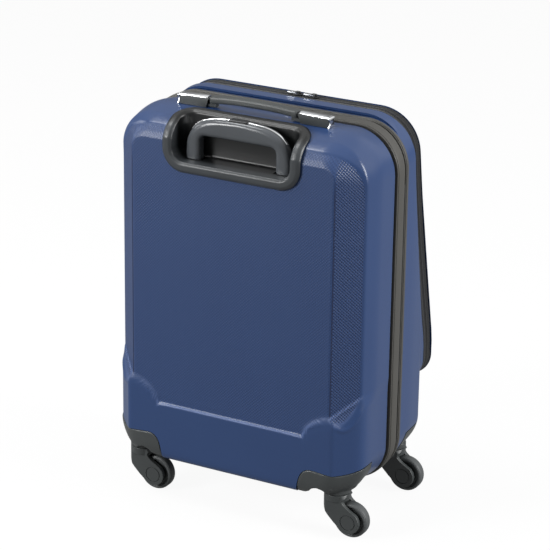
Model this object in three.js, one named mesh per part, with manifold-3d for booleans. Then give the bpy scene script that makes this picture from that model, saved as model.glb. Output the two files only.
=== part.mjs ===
// A cabin suitcase with hard shells, a zipped front pocket, a telescopic trolley and four swivelling casters.
// Millimetres, +Z up. The origin is on the floor under the middle of the case. +Y is the back, where the
// trolley is, and -Y is the front, where the pocket is. The lid's hinge runs up the -X side.
import * as THREE from 'three';
import { mergeVertices } from 'three/addons/utils/BufferGeometryUtils.js';
import Module from 'manifold-3d';

const wasm = await Module();
wasm.setup();

// ---------------------------------------------------------------- driving dimensions
const GAP = 0.3; // seat clearance between pieces that touch
const WALL = 3; // moulded shell wall

// Shell rims: the outline where the two halves meet
const HALF_WIDTH = 166;
const RIM_TOP = 488;
const RIM_BOTTOM = 42;
const RIM_TOP_RADIUS = 53;
const RIM_BOTTOM_RADIUS = 54;
const WALL_CROWN = 5; // how far the top and the underside swell between the rim and the shell's edge

// Main closure, counted in Y from the parting plane outwards
const PARTING_Y = -5.5;
const TAPE_GAP = 0.5;
const TAPE_VISIBLE = 2.2; // cloth seen in the groove on each side of the parting plane
const TAPE_THICKNESS = 1.5;
const TAPE_RECESS = 2.2;
const BAND_WIDTH = 21;
const BAND_PROUD = 3;
const BAND_THICKNESS = 4.4;
const EDGE_GROOVE = 4; // dark cloth left open between the band and the back shell
const FRONT_PIPING_WIDTH = 7.4;
const FRONT_PIPING_PROUD = 2;
const HINGE_BOTTOM_Z = 169;
const HINGE_TOP_Z = RIM_TOP - 70;

// Back shell
const BACK_FACE_Y = 111.5;
const STRIP_OUTER_Y = 84.5;
const STRIP_OUTER_INSET = 3.8;
const PANEL_INSET = 31.8;
const EDGE_DROP = 1; // from the rim's top to the top where the face starts to turn in
const FACE_DROP = 25;
const EDGE_RISE = 10.4;
const FACE_RISE = 17;
const BORDER_PROUD = 0.8; // smooth border above the grained panel and strips
const KICK_BACK_PROUD = 2; // the smooth kick area below them stands prouder
const KICK_SIDE_PROUD = 5; // and fuller at the case's back edges
const KICK_CORNER_TIGHTER = 9;
const KICK_HALF = 98.5;
const KICK_RIDGE_Z = 128;
const KICK_SHELF_Z = 157.3;
const KICK_STRIP_Z = 181.3;
const PANEL_TOP_Z = RIM_TOP - 10;
const PANEL_TOP_RADIUS = 46;

// Front shell and its pocket
const FRONT_FACE_Y = -101;
const FRONT_STRIP_Y = -76;
const FRONT_STRIP_INSET = 3.5;
const FRONT_FACE_INSET = 29;
const POCKET_TOP = RIM_TOP + WALL_CROWN;
const POCKET_SILL_Z = 136;
const POCKET_CORNER_RADIUS = 32;
const POCKET_HALF = HALF_WIDTH - 4;
const POCKET_EDGE_TOP_Y = -34; // where the pocket's zip leaves the shell, at the top
const POCKET_EDGE_LOW_Y = -86.4; // and beside the sill
const POCKET_EDGE_HIGH_Z = POCKET_TOP - 50;
const POCKET_EDGE_BEND_Z = 193;
const POCKET_EDGE_BOW = 0.25;
const POCKET_FRAME = 16; // width of the raised frame round the pocket
const POCKET_TAPE_WIDTH = 11;
const POCKET_TAPE_GAP = 0.6;
const DOOR_BULGE = 9;
const DOOR_WALL = 3;
const DIVIDER_Y = -26;
const LINER_THICKNESS = 2;

// Trolley
const TUBE_X = 56.5;
const TUBE_Y = 91.5;
const OUTER_TUBE = [21, 17];
const MIDDLE_TUBE = [17.2, 13.2];
const INNER_TUBE = [13.2, 9.2];
const TUBE_WALL = 1.3;
const TUBE_FOOT_Z = 70;
const STAGE_DROP = 5; // each stage ends this much above the one around it
const GRIP_HALF = 69;
const GRIP_TOP = RIM_TOP + 6.5;
const GRIP_THICKNESS = 16.5;
const GRIP_BAR = 24; // height of the grip's crossbar at its middle
const GRIP_LEG = 19;
const GRIP_CORNER = 38;
const GRIP_LEG_BOTTOM = GRIP_TOP - 51.5;
const INNER_TUBE_TOP = GRIP_LEG_BOTTOM + 13;
const BUTTON_HALF = 12;
const BUTTON_DEPTH = 10;
const BUTTON_TRAVEL = 2.5;
const CHROME_BAND = 4.4;

// Recess for the trolley grip
const CUP_HALF = 78;
const CUP_FLOOR_Z = GRIP_LEG_BOTTOM - 2;
const CUP_FRONT_Y = 80.5;
const CUP_WALL = 2.6;
const CUP_LIP = 13.5;
const CUP_PROUD = 4.5;
const CUP_CORNER = 15;

// Carry handle on top
const HANDLE_END = 101;
const HANDLE_CAP_LENGTH = 42;
const HANDLE_Y = 55.6;
const HANDLE_DEPTH = 13.4;
const HANDLE_SEAT_Z = RIM_TOP + WALL_CROWN + 0.6;
const HANDLE_TOP = HANDLE_SEAT_Z + 12.4;
const HANDLE_TRIM = 1.8;
const HANDLE_LIFT = 4.5;
const HANDLE_GRIP_HEIGHT = 6.2;
const HANDLE_ARCH = 3;

// Casters
const CASTER_X = 135;
const CASTER_BACK_Y = 86;
const CASTER_FRONT_Y = -64.3;
const WHEEL_RADIUS = 22;
const WHEEL_TRAIL = 20;
const TYRE_WIDTH = 13;
const TYRE_DEPTH = 6.6;
const AXLE_RADIUS = 3;
const FORK_WIDTH = 26;
const FORK_DISC = 14.6;
const COLLAR_RADIUS = 16.4;
const COLLAR_Z = 55;
const KINGPIN_RADIUS = 4;
const KINGPIN_LENGTH = 17;
const HOUSING_TOP = RIM_BOTTOM + 44;
const HOUSING_REACH = 34; // from the kingpin towards the rim
const HOUSING_PROUD = 0.8;
const WELL_TOP = 60; // ring-shaped room above the wheels
const WELL_RADIUS = 40;
const ARCH_RADIUS = 13; // arch in the housing's lower edge, between its inner end and the collar
const ARCH_OFFSET = 14.5;
const ARCH_TOP = 65;

// Zip sliders
const SLIDER_LENGTH = 11;
const SLIDER_WIDTH = 9;
const SLIDER_PLATE = 1.6;
const SLIDER_PITCH = 22; // between the two sliders of one zip when it is closed
const SLIDERS_MEET_X = -14;
const MAIN_SLIDERS_Z = 300;
const BRIDGE_HALF = 3.4;
const PULL_ROOM = 2.1; // height of the opening that the pull's crossbar turns in
const PULL_LENGTH = 14;
const PULL_WIDTH = 6.5;
const PULL_THICKNESS = 1.4;

const CORNER_STEPS = 7;
const BEYOND = 700; // cutting solids reach this far, past the whole case

// ---------------------------------------------------------------- materials
const finish = (color, roughness, metalness = 0) =>
  new THREE.MeshStandardMaterial({ color, roughness, metalness, flatShading: true });
const shellBlue = finish('#3f4f7c', 0.42);
const piping = finish('#4b4a47', 0.6);
const blackFabric = finish('#1d2024', 0.9);
const liningFabric = finish('#3a3c42', 0.95);
const darkPlastic = finish('#43474b', 0.5);
const bezelPlastic = finish('#54585b', 0.45);
const blackPlastic = finish('#15171a', 0.5);
const chrome = finish('#e4e5e6', 0.12, 1);
const aluminium = finish('#b9bcc0', 0.35, 1);
const tyreRubber = finish('#3b3c3e', 0.7);
const steel = finish('#8f9296', 0.4, 1);

// ---------------------------------------------------------------- solids
// A closed geometry as a manifold solid: only positions are kept, merged where they meet.
function solid(geometry) {
  const bare = geometry.clone();
  bare.deleteAttribute('normal');
  bare.deleteAttribute('uv');
  const merged = mergeVertices(bare, 1e-4);
  const corners = Array.from(merged.index.array);
  const kept = [];
  for (let i = 0; i < corners.length; i += 3) {
    const [a, b, c] = corners.slice(i, i + 3);
    if (a !== b && b !== c && c !== a) kept.push(a, b, c);
  }
  return new wasm.Manifold(new wasm.Mesh({
    numProp: 3,
    vertProperties: Float32Array.from(merged.attributes.position.array),
    triVerts: Uint32Array.from(kept),
  }));
}

function geometryOf(manifold) {
  const mesh = manifold.getMesh();
  const geometry = new THREE.BufferGeometry();
  geometry.setAttribute('position', new THREE.BufferAttribute(Float32Array.from(mesh.vertProperties), 3));
  geometry.setIndex(new THREE.BufferAttribute(Uint32Array.from(mesh.triVerts), 1));
  return geometry;
}

const join = (...solids) => solids.reduce((whole, next) => whole.add(next));
const cut = (whole, ...tools) => tools.reduce((rest, tool) => rest.subtract(tool), whole);
const common = (...solids) => solids.reduce((whole, next) => whole.intersect(next));

function extruded(shape, depth, curveSegments = 8) {
  return new THREE.ExtrudeGeometry(shape, { depth, bevelEnabled: false, curveSegments });
}

// A profile drawn in X and Z, from one Y to another.
function prismY(shape, y0, y1, curveSegments) {
  return solid(extruded(shape, y1 - y0, curveSegments).rotateX(Math.PI / 2).translate(0, y1, 0));
}

// A profile drawn in Y and Z, from one X to another.
function prismX(shape, x0, x1, curveSegments) {
  const turn = new THREE.Matrix4().makeBasis(
    new THREE.Vector3(0, 1, 0), new THREE.Vector3(0, 0, 1), new THREE.Vector3(1, 0, 0));
  return solid(extruded(shape, x1 - x0, curveSegments).applyMatrix4(turn).translate(x0, 0, 0));
}

// A profile drawn in X and Y, from one Z to another.
function prismZ(shape, z0, z1, curveSegments) {
  return solid(extruded(shape, z1 - z0, curveSegments).translate(0, 0, z0));
}

const block = (x0, x1, y0, y1, z0, z1) => solid(
  new THREE.BoxGeometry(x1 - x0, y1 - y0, z1 - z0).translate((x0 + x1) / 2, (y0 + y1) / 2, (z0 + z1) / 2));

function cylinderY(radius, x, z, y0, y1, sides = 32) {
  return solid(new THREE.CylinderGeometry(radius, radius, y1 - y0, sides).translate(x, (y0 + y1) / 2, z));
}

function cylinderZ(radius, x, y, z0, z1, sides = 32) {
  const upright = new THREE.CylinderGeometry(radius, radius, z1 - z0, sides).rotateX(Math.PI / 2);
  return solid(upright.translate(x, y, (z0 + z1) / 2));
}

// A profile of [radius, height] pairs turned about a vertical axis.
function turned(profile, x, y, sides = 32) {
  const points = profile.map(([radius, z]) => new THREE.Vector2(radius, z));
  return solid(new THREE.LatheGeometry(points, sides).rotateX(Math.PI / 2).translate(x, y, 0));
}

function roundedBox(x0, x1, y0, y1, radius) {
  const shape = new THREE.Shape();
  shape.moveTo(x0 + radius, y0);
  shape.lineTo(x1 - radius, y0);
  shape.absarc(x1 - radius, y0 + radius, radius, -Math.PI / 2, 0);
  shape.lineTo(x1, y1 - radius);
  shape.absarc(x1 - radius, y1 - radius, radius, 0, Math.PI / 2);
  shape.lineTo(x0 + radius, y1);
  shape.absarc(x0 + radius, y1 - radius, radius, Math.PI / 2, Math.PI);
  shape.lineTo(x0, y0 + radius);
  shape.absarc(x0 + radius, y0 + radius, radius, Math.PI, Math.PI * 1.5);
  return shape;
}

const polygon = (points) => new THREE.Shape(points.map(([a, b]) => new THREE.Vector2(a, b)));

// ---------------------------------------------------------------- lofted shell forms
// A level is the rounded outline of a shell at one depth, given by how far it has drawn in from the rim.
function level(y, inset, drop, rise, topRadius, bottomRadius) {
  return {
    y, half: HALF_WIDTH - inset, top: RIM_TOP - drop, bottom: RIM_BOTTOM + rise, topRadius, bottomRadius,
  };
}

function outline({ half, top, bottom, topRadius, bottomRadius }) {
  const corners = [
    [half - bottomRadius, bottom + bottomRadius, bottomRadius, -Math.PI / 2],
    [half - topRadius, top - topRadius, topRadius, 0],
    [topRadius - half, top - topRadius, topRadius, Math.PI / 2],
    [bottomRadius - half, bottom + bottomRadius, bottomRadius, Math.PI],
  ];
  const arc = ([x, z, radius, start]) => Array.from({ length: CORNER_STEPS + 1 }, (_, i) => {
    const angle = start + (Math.PI / 2) * (i / CORNER_STEPS);
    return [x + radius * Math.cos(angle), z + radius * Math.sin(angle)];
  });
  return corners.flatMap(arc);
}

const ringAt = (shellLevel) => outline(shellLevel).map(([x, z]) => [x, shellLevel.y, z]);

// Joins rings of equal count into a closed body. Each ring is symmetric in X, so its end is closed with
// strips running straight across from one side to the other.
function loft(rings) {
  const count = rings[0].length;
  const index = [];
  for (let ring = 0; ring < rings.length - 1; ring += 1) {
    for (let i = 0; i < count; i += 1) {
      const a = ring * count + i;
      const b = ring * count + ((i + 1) % count);
      index.push(a, b + count, b, a, a + count, b + count);
    }
  }
  const last = (rings.length - 1) * count;
  const acrossEnd = (i, j, k) => index.push(i, j, k, last + i, last + k, last + j);
  for (let i = 0; i < count / 2 - 1; i += 1) {
    const across = count - 1 - i;
    acrossEnd(i, i + 1, across);
    if (i + 1 < across - 1) acrossEnd(i + 1, across - 1, across);
  }
  const towardsBack = rings.at(-1)[0][1] > rings[0][0][1];
  if (!towardsBack) index.reverse();
  const geometry = new THREE.BufferGeometry();
  geometry.setAttribute('position', new THREE.Float32BufferAttribute(rings.flat(2), 3));
  geometry.setIndex(index);
  return solid(geometry);
}

// The same levels moved outwards by a distance, inwards if it is negative. The rim keeps its depth.
function grown(levels, distance) {
  const direction = Math.sign(levels.at(-1).y - levels[0].y);
  const deepest = levels.at(-1).y;
  return levels.map((each, i) => ({
    y: i === 0 ? each.y - direction * (distance < 0 ? 1 : 0)
      : each.y + direction * distance * ((each.y - levels[0].y) / (deepest - levels[0].y)) ** 2,
    half: each.half + distance,
    top: each.top + distance,
    bottom: each.bottom - distance,
    topRadius: each.topRadius + distance,
    bottomRadius: each.bottomRadius + distance,
  }));
}

const lofted = (levels) => loft(levels.map(ringAt));

const BAND_FRONT_Y = PARTING_Y + TAPE_GAP / 2 + TAPE_VISIBLE;
const BACK_RIM_Y = BAND_FRONT_Y + BAND_WIDTH + EDGE_GROOVE;
const FRONT_PIPING_BACK_Y = PARTING_Y - TAPE_GAP / 2 - TAPE_VISIBLE;
const FRONT_RIM_Y = FRONT_PIPING_BACK_Y - FRONT_PIPING_WIDTH - GAP;

// On the strips beside the panel the half width falls in a straight line between these two depths.
const stripInset = (y) => THREE.MathUtils.mapLinear(
  y, STRIP_OUTER_Y, BACK_FACE_Y, STRIP_OUTER_INSET, PANEL_INSET);
const crownY = (BACK_RIM_Y + STRIP_OUTER_Y) / 2;
const backLevels = [
  level(BACK_RIM_Y, 0, 0, 0, RIM_TOP_RADIUS, RIM_BOTTOM_RADIUS),
  level(crownY, -0.5, -WALL_CROWN, WALL_CROWN, 54, 52),
  level(STRIP_OUTER_Y, STRIP_OUTER_INSET, EDGE_DROP, EDGE_RISE, 48, 46),
  level(BACK_FACE_Y - 10.5, stripInset(BACK_FACE_Y - 10.5), 9.5, EDGE_RISE + 0.4, 42, 40),
  level(BACK_FACE_Y - 3.5, stripInset(BACK_FACE_Y - 3.5), 17.5, EDGE_RISE + 2.2, 38, 36),
  level(BACK_FACE_Y, PANEL_INSET, FACE_DROP, FACE_RISE, 34, 33),
];

// The kick area and the corner housings stand prouder than the rest of the back.
const kickLevels = backLevels.map((each, i) => (i < 2 ? each : {
  ...each, y: each.y + KICK_BACK_PROUD * (i / (backLevels.length - 1)), half: each.half + KICK_SIDE_PROUD,
  bottomRadius: each.bottomRadius - KICK_CORNER_TIGHTER,
}));

const POCKET_DROP = RIM_TOP - POCKET_TOP; // the top swells up to the pocket
const frontLevels = [
  level(FRONT_RIM_Y, 0, 0, 0, RIM_TOP_RADIUS, RIM_BOTTOM_RADIUS),
  level(POCKET_EDGE_TOP_Y - 6, 0.5, POCKET_DROP, WALL_CROWN, 54, 52),
  level(FRONT_STRIP_Y, FRONT_STRIP_INSET, POCKET_DROP + 1.5, EDGE_RISE - 1.4, 52, 47),
  level(FRONT_FACE_Y + 11, FRONT_STRIP_INSET + 7, 3, EDGE_RISE, 48, 42),
  level(FRONT_FACE_Y + 3.5, FRONT_STRIP_INSET + 16, 10, EDGE_RISE + 2, 42, 38),
  level(FRONT_FACE_Y, FRONT_FACE_INSET, 18, FACE_RISE, 38, 34),
];

// ---------------------------------------------------------------- model
const suitcase = new THREE.Group();

function add(name, shape, material, parent = suitcase) {
  const geometry = shape.isBufferGeometry ? shape : geometryOf(shape);
  const mesh = new THREE.Mesh(geometry, material);
  mesh.name = name;
  parent.add(mesh);
  return mesh;
}

const sides = [['left', 1], ['right', -1]]; // seen from behind, +X is on the left

// ---- corner housings' outer form, which the shells are cut out for
// The boundary runs level across the shell's back, rises to a tip on its side and falls to the inner end.
const HOUSING_INNER = CASTER_X - 43;
function housingOutline(grow) {
  const inner = HOUSING_INNER - grow;
  const top = HOUSING_TOP + grow;
  const outer = HALF_WIDTH + 19;
  const shape = new THREE.Shape();
  shape.moveTo(inner, RIM_BOTTOM - 20);
  shape.lineTo(inner, RIM_BOTTOM + 3);
  shape.bezierCurveTo(inner + 3, top - 16 - grow, HOUSING_INNER + 4 - grow, top, CASTER_X - 22, top + 0.5);
  shape.lineTo(CASTER_X + 3, top - 1.5);
  shape.bezierCurveTo(CASTER_X + 19, top - 2.5, HALF_WIDTH - 4, top, outer, top + 12);
  shape.lineTo(outer, RIM_BOTTOM - 20);
  return shape;
}

// Cut back in depth so that the housing stops short of the rim.
function housingDepth(casterY, direction, grow) {
  const near = casterY - direction * (HOUSING_REACH + grow);
  const far = direction * BEYOND;
  const top = HOUSING_TOP + 14 + grow;
  return polygon([
    [near, RIM_BOTTOM - 20], [near, RIM_BOTTOM + 24], [near + direction * 12, top], [far, top],
    [far, RIM_BOTTOM - 20],
  ]);
}

function cornerRegion(side, { casterY, direction }, grow) {
  const face = prismY(housingOutline(grow), -BEYOND, BEYOND, 6);
  const region = common(face, prismX(housingDepth(casterY, direction, grow), 0, BEYOND));
  return side > 0 ? region : region.mirror([1, 0, 0]);
}

const backEnd = { direction: 1, levels: kickLevels, casterY: CASTER_BACK_Y };
const frontEnd = { direction: -1, levels: frontLevels, casterY: CASTER_FRONT_Y };

// Where the wheel turns, the underside is scooped out in a ring around the collar.
const wheelWell = (casterX, casterY) => {
  const ring = [
    [COLLAR_RADIUS + 2, 0], [WELL_RADIUS, 0], [WELL_RADIUS - 2, WELL_TOP - 4], [WELL_RADIUS - 8, WELL_TOP],
    [COLLAR_RADIUS + 7, WELL_TOP], [COLLAR_RADIUS + 3.5, COLLAR_Z + 4], [COLLAR_RADIUS + 2, 0],
  ];
  return turned(ring, casterX, casterY, 28);
};

// Beside the collar the housing's lower edge is arched, which opens the well to the case's face.
function wellArch(side, { direction, casterY }, grow) {
  const [y0, y1] = [casterY, casterY + direction * 60].sort((a, b) => a - b);
  return cylinderY(
    ARCH_RADIUS + grow, side * (CASTER_X - ARCH_OFFSET), ARCH_TOP - ARCH_RADIUS, y0, y1, 28);
}

// A corner piece of the shell's own form, flared down to the round collar that the caster turns under.
function housing(side, end) {
  const { direction, levels, casterY } = end;
  const x = side * CASTER_X;
  const form = lofted(grown(levels, HOUSING_PROUD));
  const near = casterY - direction * HOUSING_REACH;
  const hollow = cut(lofted(grown(levels, -WALL - 1.5)),
    cylinderZ(WELL_RADIUS + 1.5, x, casterY, 0, WELL_TOP + 2.5, 28), wellArch(side, end, 2.5));
  const corner = cut(
    common(form, cornerRegion(side, end, 0)), hollow, wheelWell(x, casterY), wellArch(side, end, 0));
  const collar = turned([
    [0, COLLAR_Z], [COLLAR_RADIUS, COLLAR_Z], [COLLAR_RADIUS + 0.4, COLLAR_Z + 2],
    [COLLAR_RADIUS + 4, WELL_TOP], [COLLAR_RADIUS + 4, WELL_TOP + 2], [0, WELL_TOP + 2],
  ], x, casterY, 32);
  const envelope = polygon([
    [HOUSING_INNER, near], [levels[1].half, near], ...levels.slice(2).map(({ half, y }) => [half + 2, y]),
    [HOUSING_INNER, levels.at(-1).y],
  ].map(([px, py]) => [side * px, py]));
  const flare = turned([
    [0, COLLAR_Z], [COLLAR_RADIUS, COLLAR_Z], [COLLAR_RADIUS + 2.6, WELL_TOP - 1.5],
    [COLLAR_RADIUS + 9, ARCH_TOP], [COLLAR_RADIUS + 9, ARCH_TOP + 1.5], [0, ARCH_TOP + 1.5],
  ], x, casterY, 32);
  const bore = cylinderZ(KINGPIN_RADIUS + 0.1, x, casterY, COLLAR_Z - 1, COLLAR_Z + KINGPIN_LENGTH + 1, 16);
  const boss = cylinderZ(9, x, casterY, WELL_TOP, COLLAR_Z + KINGPIN_LENGTH + 3, 20);
  return cut(join(corner, common(collar, prismZ(envelope, 0, BEYOND)), common(flare, form), boss), bore,
    cylinderZ(WELL_RADIUS, x, casterY, 0, COLLAR_Z, 28));
}

// ---- back shell
// The grained panel and its two strips end at the kick ridge below and in a rounded head above.
function panelZone(shrink = 0) {
  const edge = HALF_WIDTH - STRIP_OUTER_INSET + 0.6 - shrink;
  const panelEdge = HALF_WIDTH - PANEL_INSET;
  const head = PANEL_TOP_Z - shrink;
  const radius = PANEL_TOP_RADIUS - shrink;
  const half = (sign) => ({
    strip: [sign * edge, KICK_STRIP_Z + shrink], shelf: [sign * panelEdge, KICK_SHELF_Z + shrink],
    bend: [sign * (panelEdge - 16), KICK_SHELF_Z - 3.5 + shrink],
    foot: [sign * KICK_HALF, KICK_RIDGE_Z + shrink],
  });
  const right = half(-1);
  const left = half(1);
  const shape = new THREE.Shape();
  shape.moveTo(...right.strip);
  shape.lineTo(...right.shelf);
  shape.bezierCurveTo(right.bend[0], right.bend[1] + 1, -KICK_HALF - 5, KICK_RIDGE_Z + 17, ...right.foot);
  shape.lineTo(...left.foot);
  shape.bezierCurveTo(KICK_HALF + 5, KICK_RIDGE_Z + 17, left.bend[0], left.bend[1] + 1, ...left.shelf);
  shape.lineTo(...left.strip);
  shape.lineTo(edge, head - radius);
  shape.absarc(edge - radius, head - radius, radius, 0, Math.PI / 2);
  shape.lineTo(radius - edge, head);
  shape.absarc(radius - edge, head - radius, radius, Math.PI / 2, Math.PI);
  return shape;
}

// The outside of the back shell: a smooth border standing proud around the grained panel, and a kick area
// below it that stands prouder still.
function backForm(extra = 0) {
  const zone = prismY(panelZone(extra), STRIP_OUTER_Y - 8, BEYOND, 6);
  const kickTop = block(-BEYOND, BEYOND, 0, BEYOND, 0, KICK_STRIP_Z + 6);
  const kick = common(lofted(grown(kickLevels, extra)), kickTop);
  const border = lofted(grown(backLevels, BORDER_PROUD + extra));
  return join(cut(join(border, kick), zone), lofted(grown(backLevels, extra)));
}

const backHollow = lofted(grown(backLevels, -WALL));

// The opening for the trolley's recess, rounded in its lower corners and in plan.
function cupOpening(grow) {
  const half = CUP_HALF + grow;
  const corner = CUP_CORNER + grow;
  const face = prismY(roundedBox(-half, half, CUP_FLOOR_Z - grow, BEYOND, corner), 0, BEYOND, 5);
  const plan = prismZ(roundedBox(-half, half, CUP_FRONT_Y - grow, BEYOND, corner), 0, BEYOND, 5);
  return common(face, plan);
}

const backCorners = sides.map(([, side]) => cornerRegion(side, backEnd, GAP));
add('back_shell', cut(
  backForm(), backHollow, cupOpening(CUP_WALL + GAP), ...backCorners), shellBlue);

// ---- trolley recess: a bowl open to the back and the top, with a rounded lip on the shell
function cupLip() {
  const skin = cut(lofted(grown(backLevels, CUP_PROUD)), backForm(GAP));
  const outer = cupOpening(CUP_LIP);
  const softened = lofted(grown(backLevels, CUP_PROUD + 2));
  return common(cut(common(skin, outer), cupOpening(0)), softened);
}

function cupBowl() {
  const skin = lofted(grown(backLevels, CUP_PROUD - 1));
  return cut(common(cupOpening(CUP_WALL), skin), cupOpening(0));
}

const [middleWidth, middleDepth] = MIDDLE_TUBE;
const shelfHoles = sides.map(([, side]) => block(
  side * TUBE_X - middleWidth / 2 - GAP, side * TUBE_X + middleWidth / 2 + GAP,
  TUBE_Y - middleDepth / 2 - GAP, TUBE_Y + middleDepth / 2 + GAP, CUP_FLOOR_Z - 10, CUP_FLOOR_Z + 5));
add('handle_cup', cut(join(cupBowl(), cupLip()), ...shelfHoles), bezelPlastic);

// ---- trolley tubes: three nested rectangular stages on each side
function tube([width, depth], x, z0, z1, wall = TUBE_WALL) {
  const outer = block(x - width / 2, x + width / 2, TUBE_Y - depth / 2, TUBE_Y + depth / 2, z0, z1);
  const inner = block(x - width / 2 + wall, x + width / 2 - wall,
    TUBE_Y - depth / 2 + wall, TUBE_Y + depth / 2 - wall, z0 - 1, z1 + 1);
  return cut(outer, inner);
}

const outerTubeTop = CUP_FLOOR_Z - CUP_WALL - GAP;
for (const [name, side] of sides) {
  const x = side * TUBE_X;
  add(`outer_tube_${name}`, tube(OUTER_TUBE, x, TUBE_FOOT_Z + GAP, outerTubeTop), aluminium);
  add(`middle_tube_${name}`,
    tube(MIDDLE_TUBE, x, TUBE_FOOT_Z + STAGE_DROP, CUP_FLOOR_Z - GAP), aluminium);
  add(`inner_tube_${name}`,
    tube(INNER_TUBE, x, TUBE_FOOT_Z + 2 * STAGE_DROP, INNER_TUBE_TOP), aluminium);
}

// The foot joins the two outer tubes and stands on the shell's floor.
const footHalf = TUBE_X + OUTER_TUBE[0] / 2 + 6;
const footBottom = RIM_BOTTOM + EDGE_RISE + WALL + 1.8 + GAP;
const footDepth = OUTER_TUBE[1] / 2 + 3;
const footSockets = sides.map(([, side]) => block(
  side * TUBE_X - INNER_TUBE[0] / 2, side * TUBE_X + INNER_TUBE[0] / 2,
  TUBE_Y - 3, TUBE_Y + 3, footBottom + 3, TUBE_FOOT_Z + 1));
add('tube_foot', cut(
  prismZ(roundedBox(-footHalf, footHalf, TUBE_Y - footDepth, TUBE_Y + footDepth, 4),
    footBottom, TUBE_FOOT_Z, 3),
  ...footSockets), darkPlastic);

// ---- trolley grip: an arched loop with a chrome band round its middle and a button in its top
function gripOutline(inset) {
  const half = GRIP_HALF - inset;
  const top = GRIP_TOP - inset;
  const radius = GRIP_CORNER - inset;
  const innerHalf = GRIP_HALF - GRIP_LEG + inset;
  const innerTop = GRIP_TOP - GRIP_BAR + inset;
  const shape = new THREE.Shape();
  shape.moveTo(half, GRIP_LEG_BOTTOM);
  shape.lineTo(half, top - radius - 4);
  shape.bezierCurveTo(half, top - 12, half - 22, top - 2, half - 48, top - 1);
  shape.quadraticCurveTo(0, top + 1, 48 - half, top - 1);
  shape.bezierCurveTo(22 - half, top - 2, -half, top - 12, -half, top - radius - 4);
  shape.lineTo(-half, GRIP_LEG_BOTTOM);
  shape.lineTo(-innerHalf, GRIP_LEG_BOTTOM);
  shape.lineTo(-innerHalf, innerTop - 9);
  shape.quadraticCurveTo(-innerHalf, innerTop, 9 - innerHalf, innerTop);
  shape.lineTo(innerHalf - 9, innerTop);
  shape.quadraticCurveTo(innerHalf, innerTop, innerHalf, innerTop - 9);
  shape.lineTo(innerHalf, GRIP_LEG_BOTTOM);
  return shape;
}

const gripFront = TUBE_Y - GRIP_THICKNESS / 2;
const gripBack = TUBE_Y + GRIP_THICKNESS / 2;
const gripMiddle = prismY(gripOutline(0), gripFront + 4, gripBack - 4, 8);
const gripWhole = join(gripMiddle, prismY(gripOutline(5), gripFront, gripBack, 8));
const buttonPocket = (clear, top) => block(
  -BUTTON_HALF - clear, BUTTON_HALF + clear,
  TUBE_Y - BUTTON_DEPTH / 2 - clear, TUBE_Y + BUTTON_DEPTH / 2 + clear, GRIP_TOP - 9 - clear, top);
const legSockets = sides.map(([, side]) => block(
  side * TUBE_X - INNER_TUBE[0] / 2 - GAP, side * TUBE_X + INNER_TUBE[0] / 2 + GAP,
  TUBE_Y - INNER_TUBE[1] / 2 - GAP, TUBE_Y + INNER_TUBE[1] / 2 + GAP,
  GRIP_LEG_BOTTOM - 5, INNER_TUBE_TOP + GAP));

// The chrome band wraps the grip's crown, in a groove on its middle plane.
function chromeBand(clear) {
  const half = CHROME_BAND / 2 + clear;
  const legInside = GRIP_HALF - GRIP_LEG;
  const outer = prismY(gripOutline(-0.9 - clear), TUBE_Y - half, TUBE_Y + half, 8);
  const inner = prismY(gripOutline(1.2 + clear), 0, BEYOND, 8);
  const crown = block(-BEYOND, BEYOND, 0, BEYOND, GRIP_TOP - 18 - clear, BEYOND);
  const core = block(-legInside, legInside, 0, BEYOND, 0, GRIP_TOP - 12);
  return cut(common(outer, crown), inner, core);
}
add('trolley_grip', cut(
  gripWhole, buttonPocket(GAP, BEYOND), ...legSockets, chromeBand(GAP)), bezelPlastic);

// The button interrupts the band, so there is a strip on each side of it.
for (const [name, side] of sides) {
  const [near, far] = [0, side * BEYOND].sort((a, b) => a - b);
  const ownHalf = block(near, far, 0, BEYOND, 0, BEYOND);
  add(`grip_trim_${name}`, common(cut(chromeBand(0), buttonPocket(GAP, BEYOND)), ownHalf), chrome);
}
add('release_button', common(
  buttonPocket(0, GRIP_TOP + 1.4),
  prismY(roundedBox(-BUTTON_HALF, BUTTON_HALF, GRIP_TOP - 9 + BUTTON_TRAVEL + 0.5, GRIP_TOP + 1.4, 2),
    TUBE_Y - 20, TUBE_Y + 20, 3)), blackPlastic);

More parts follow.
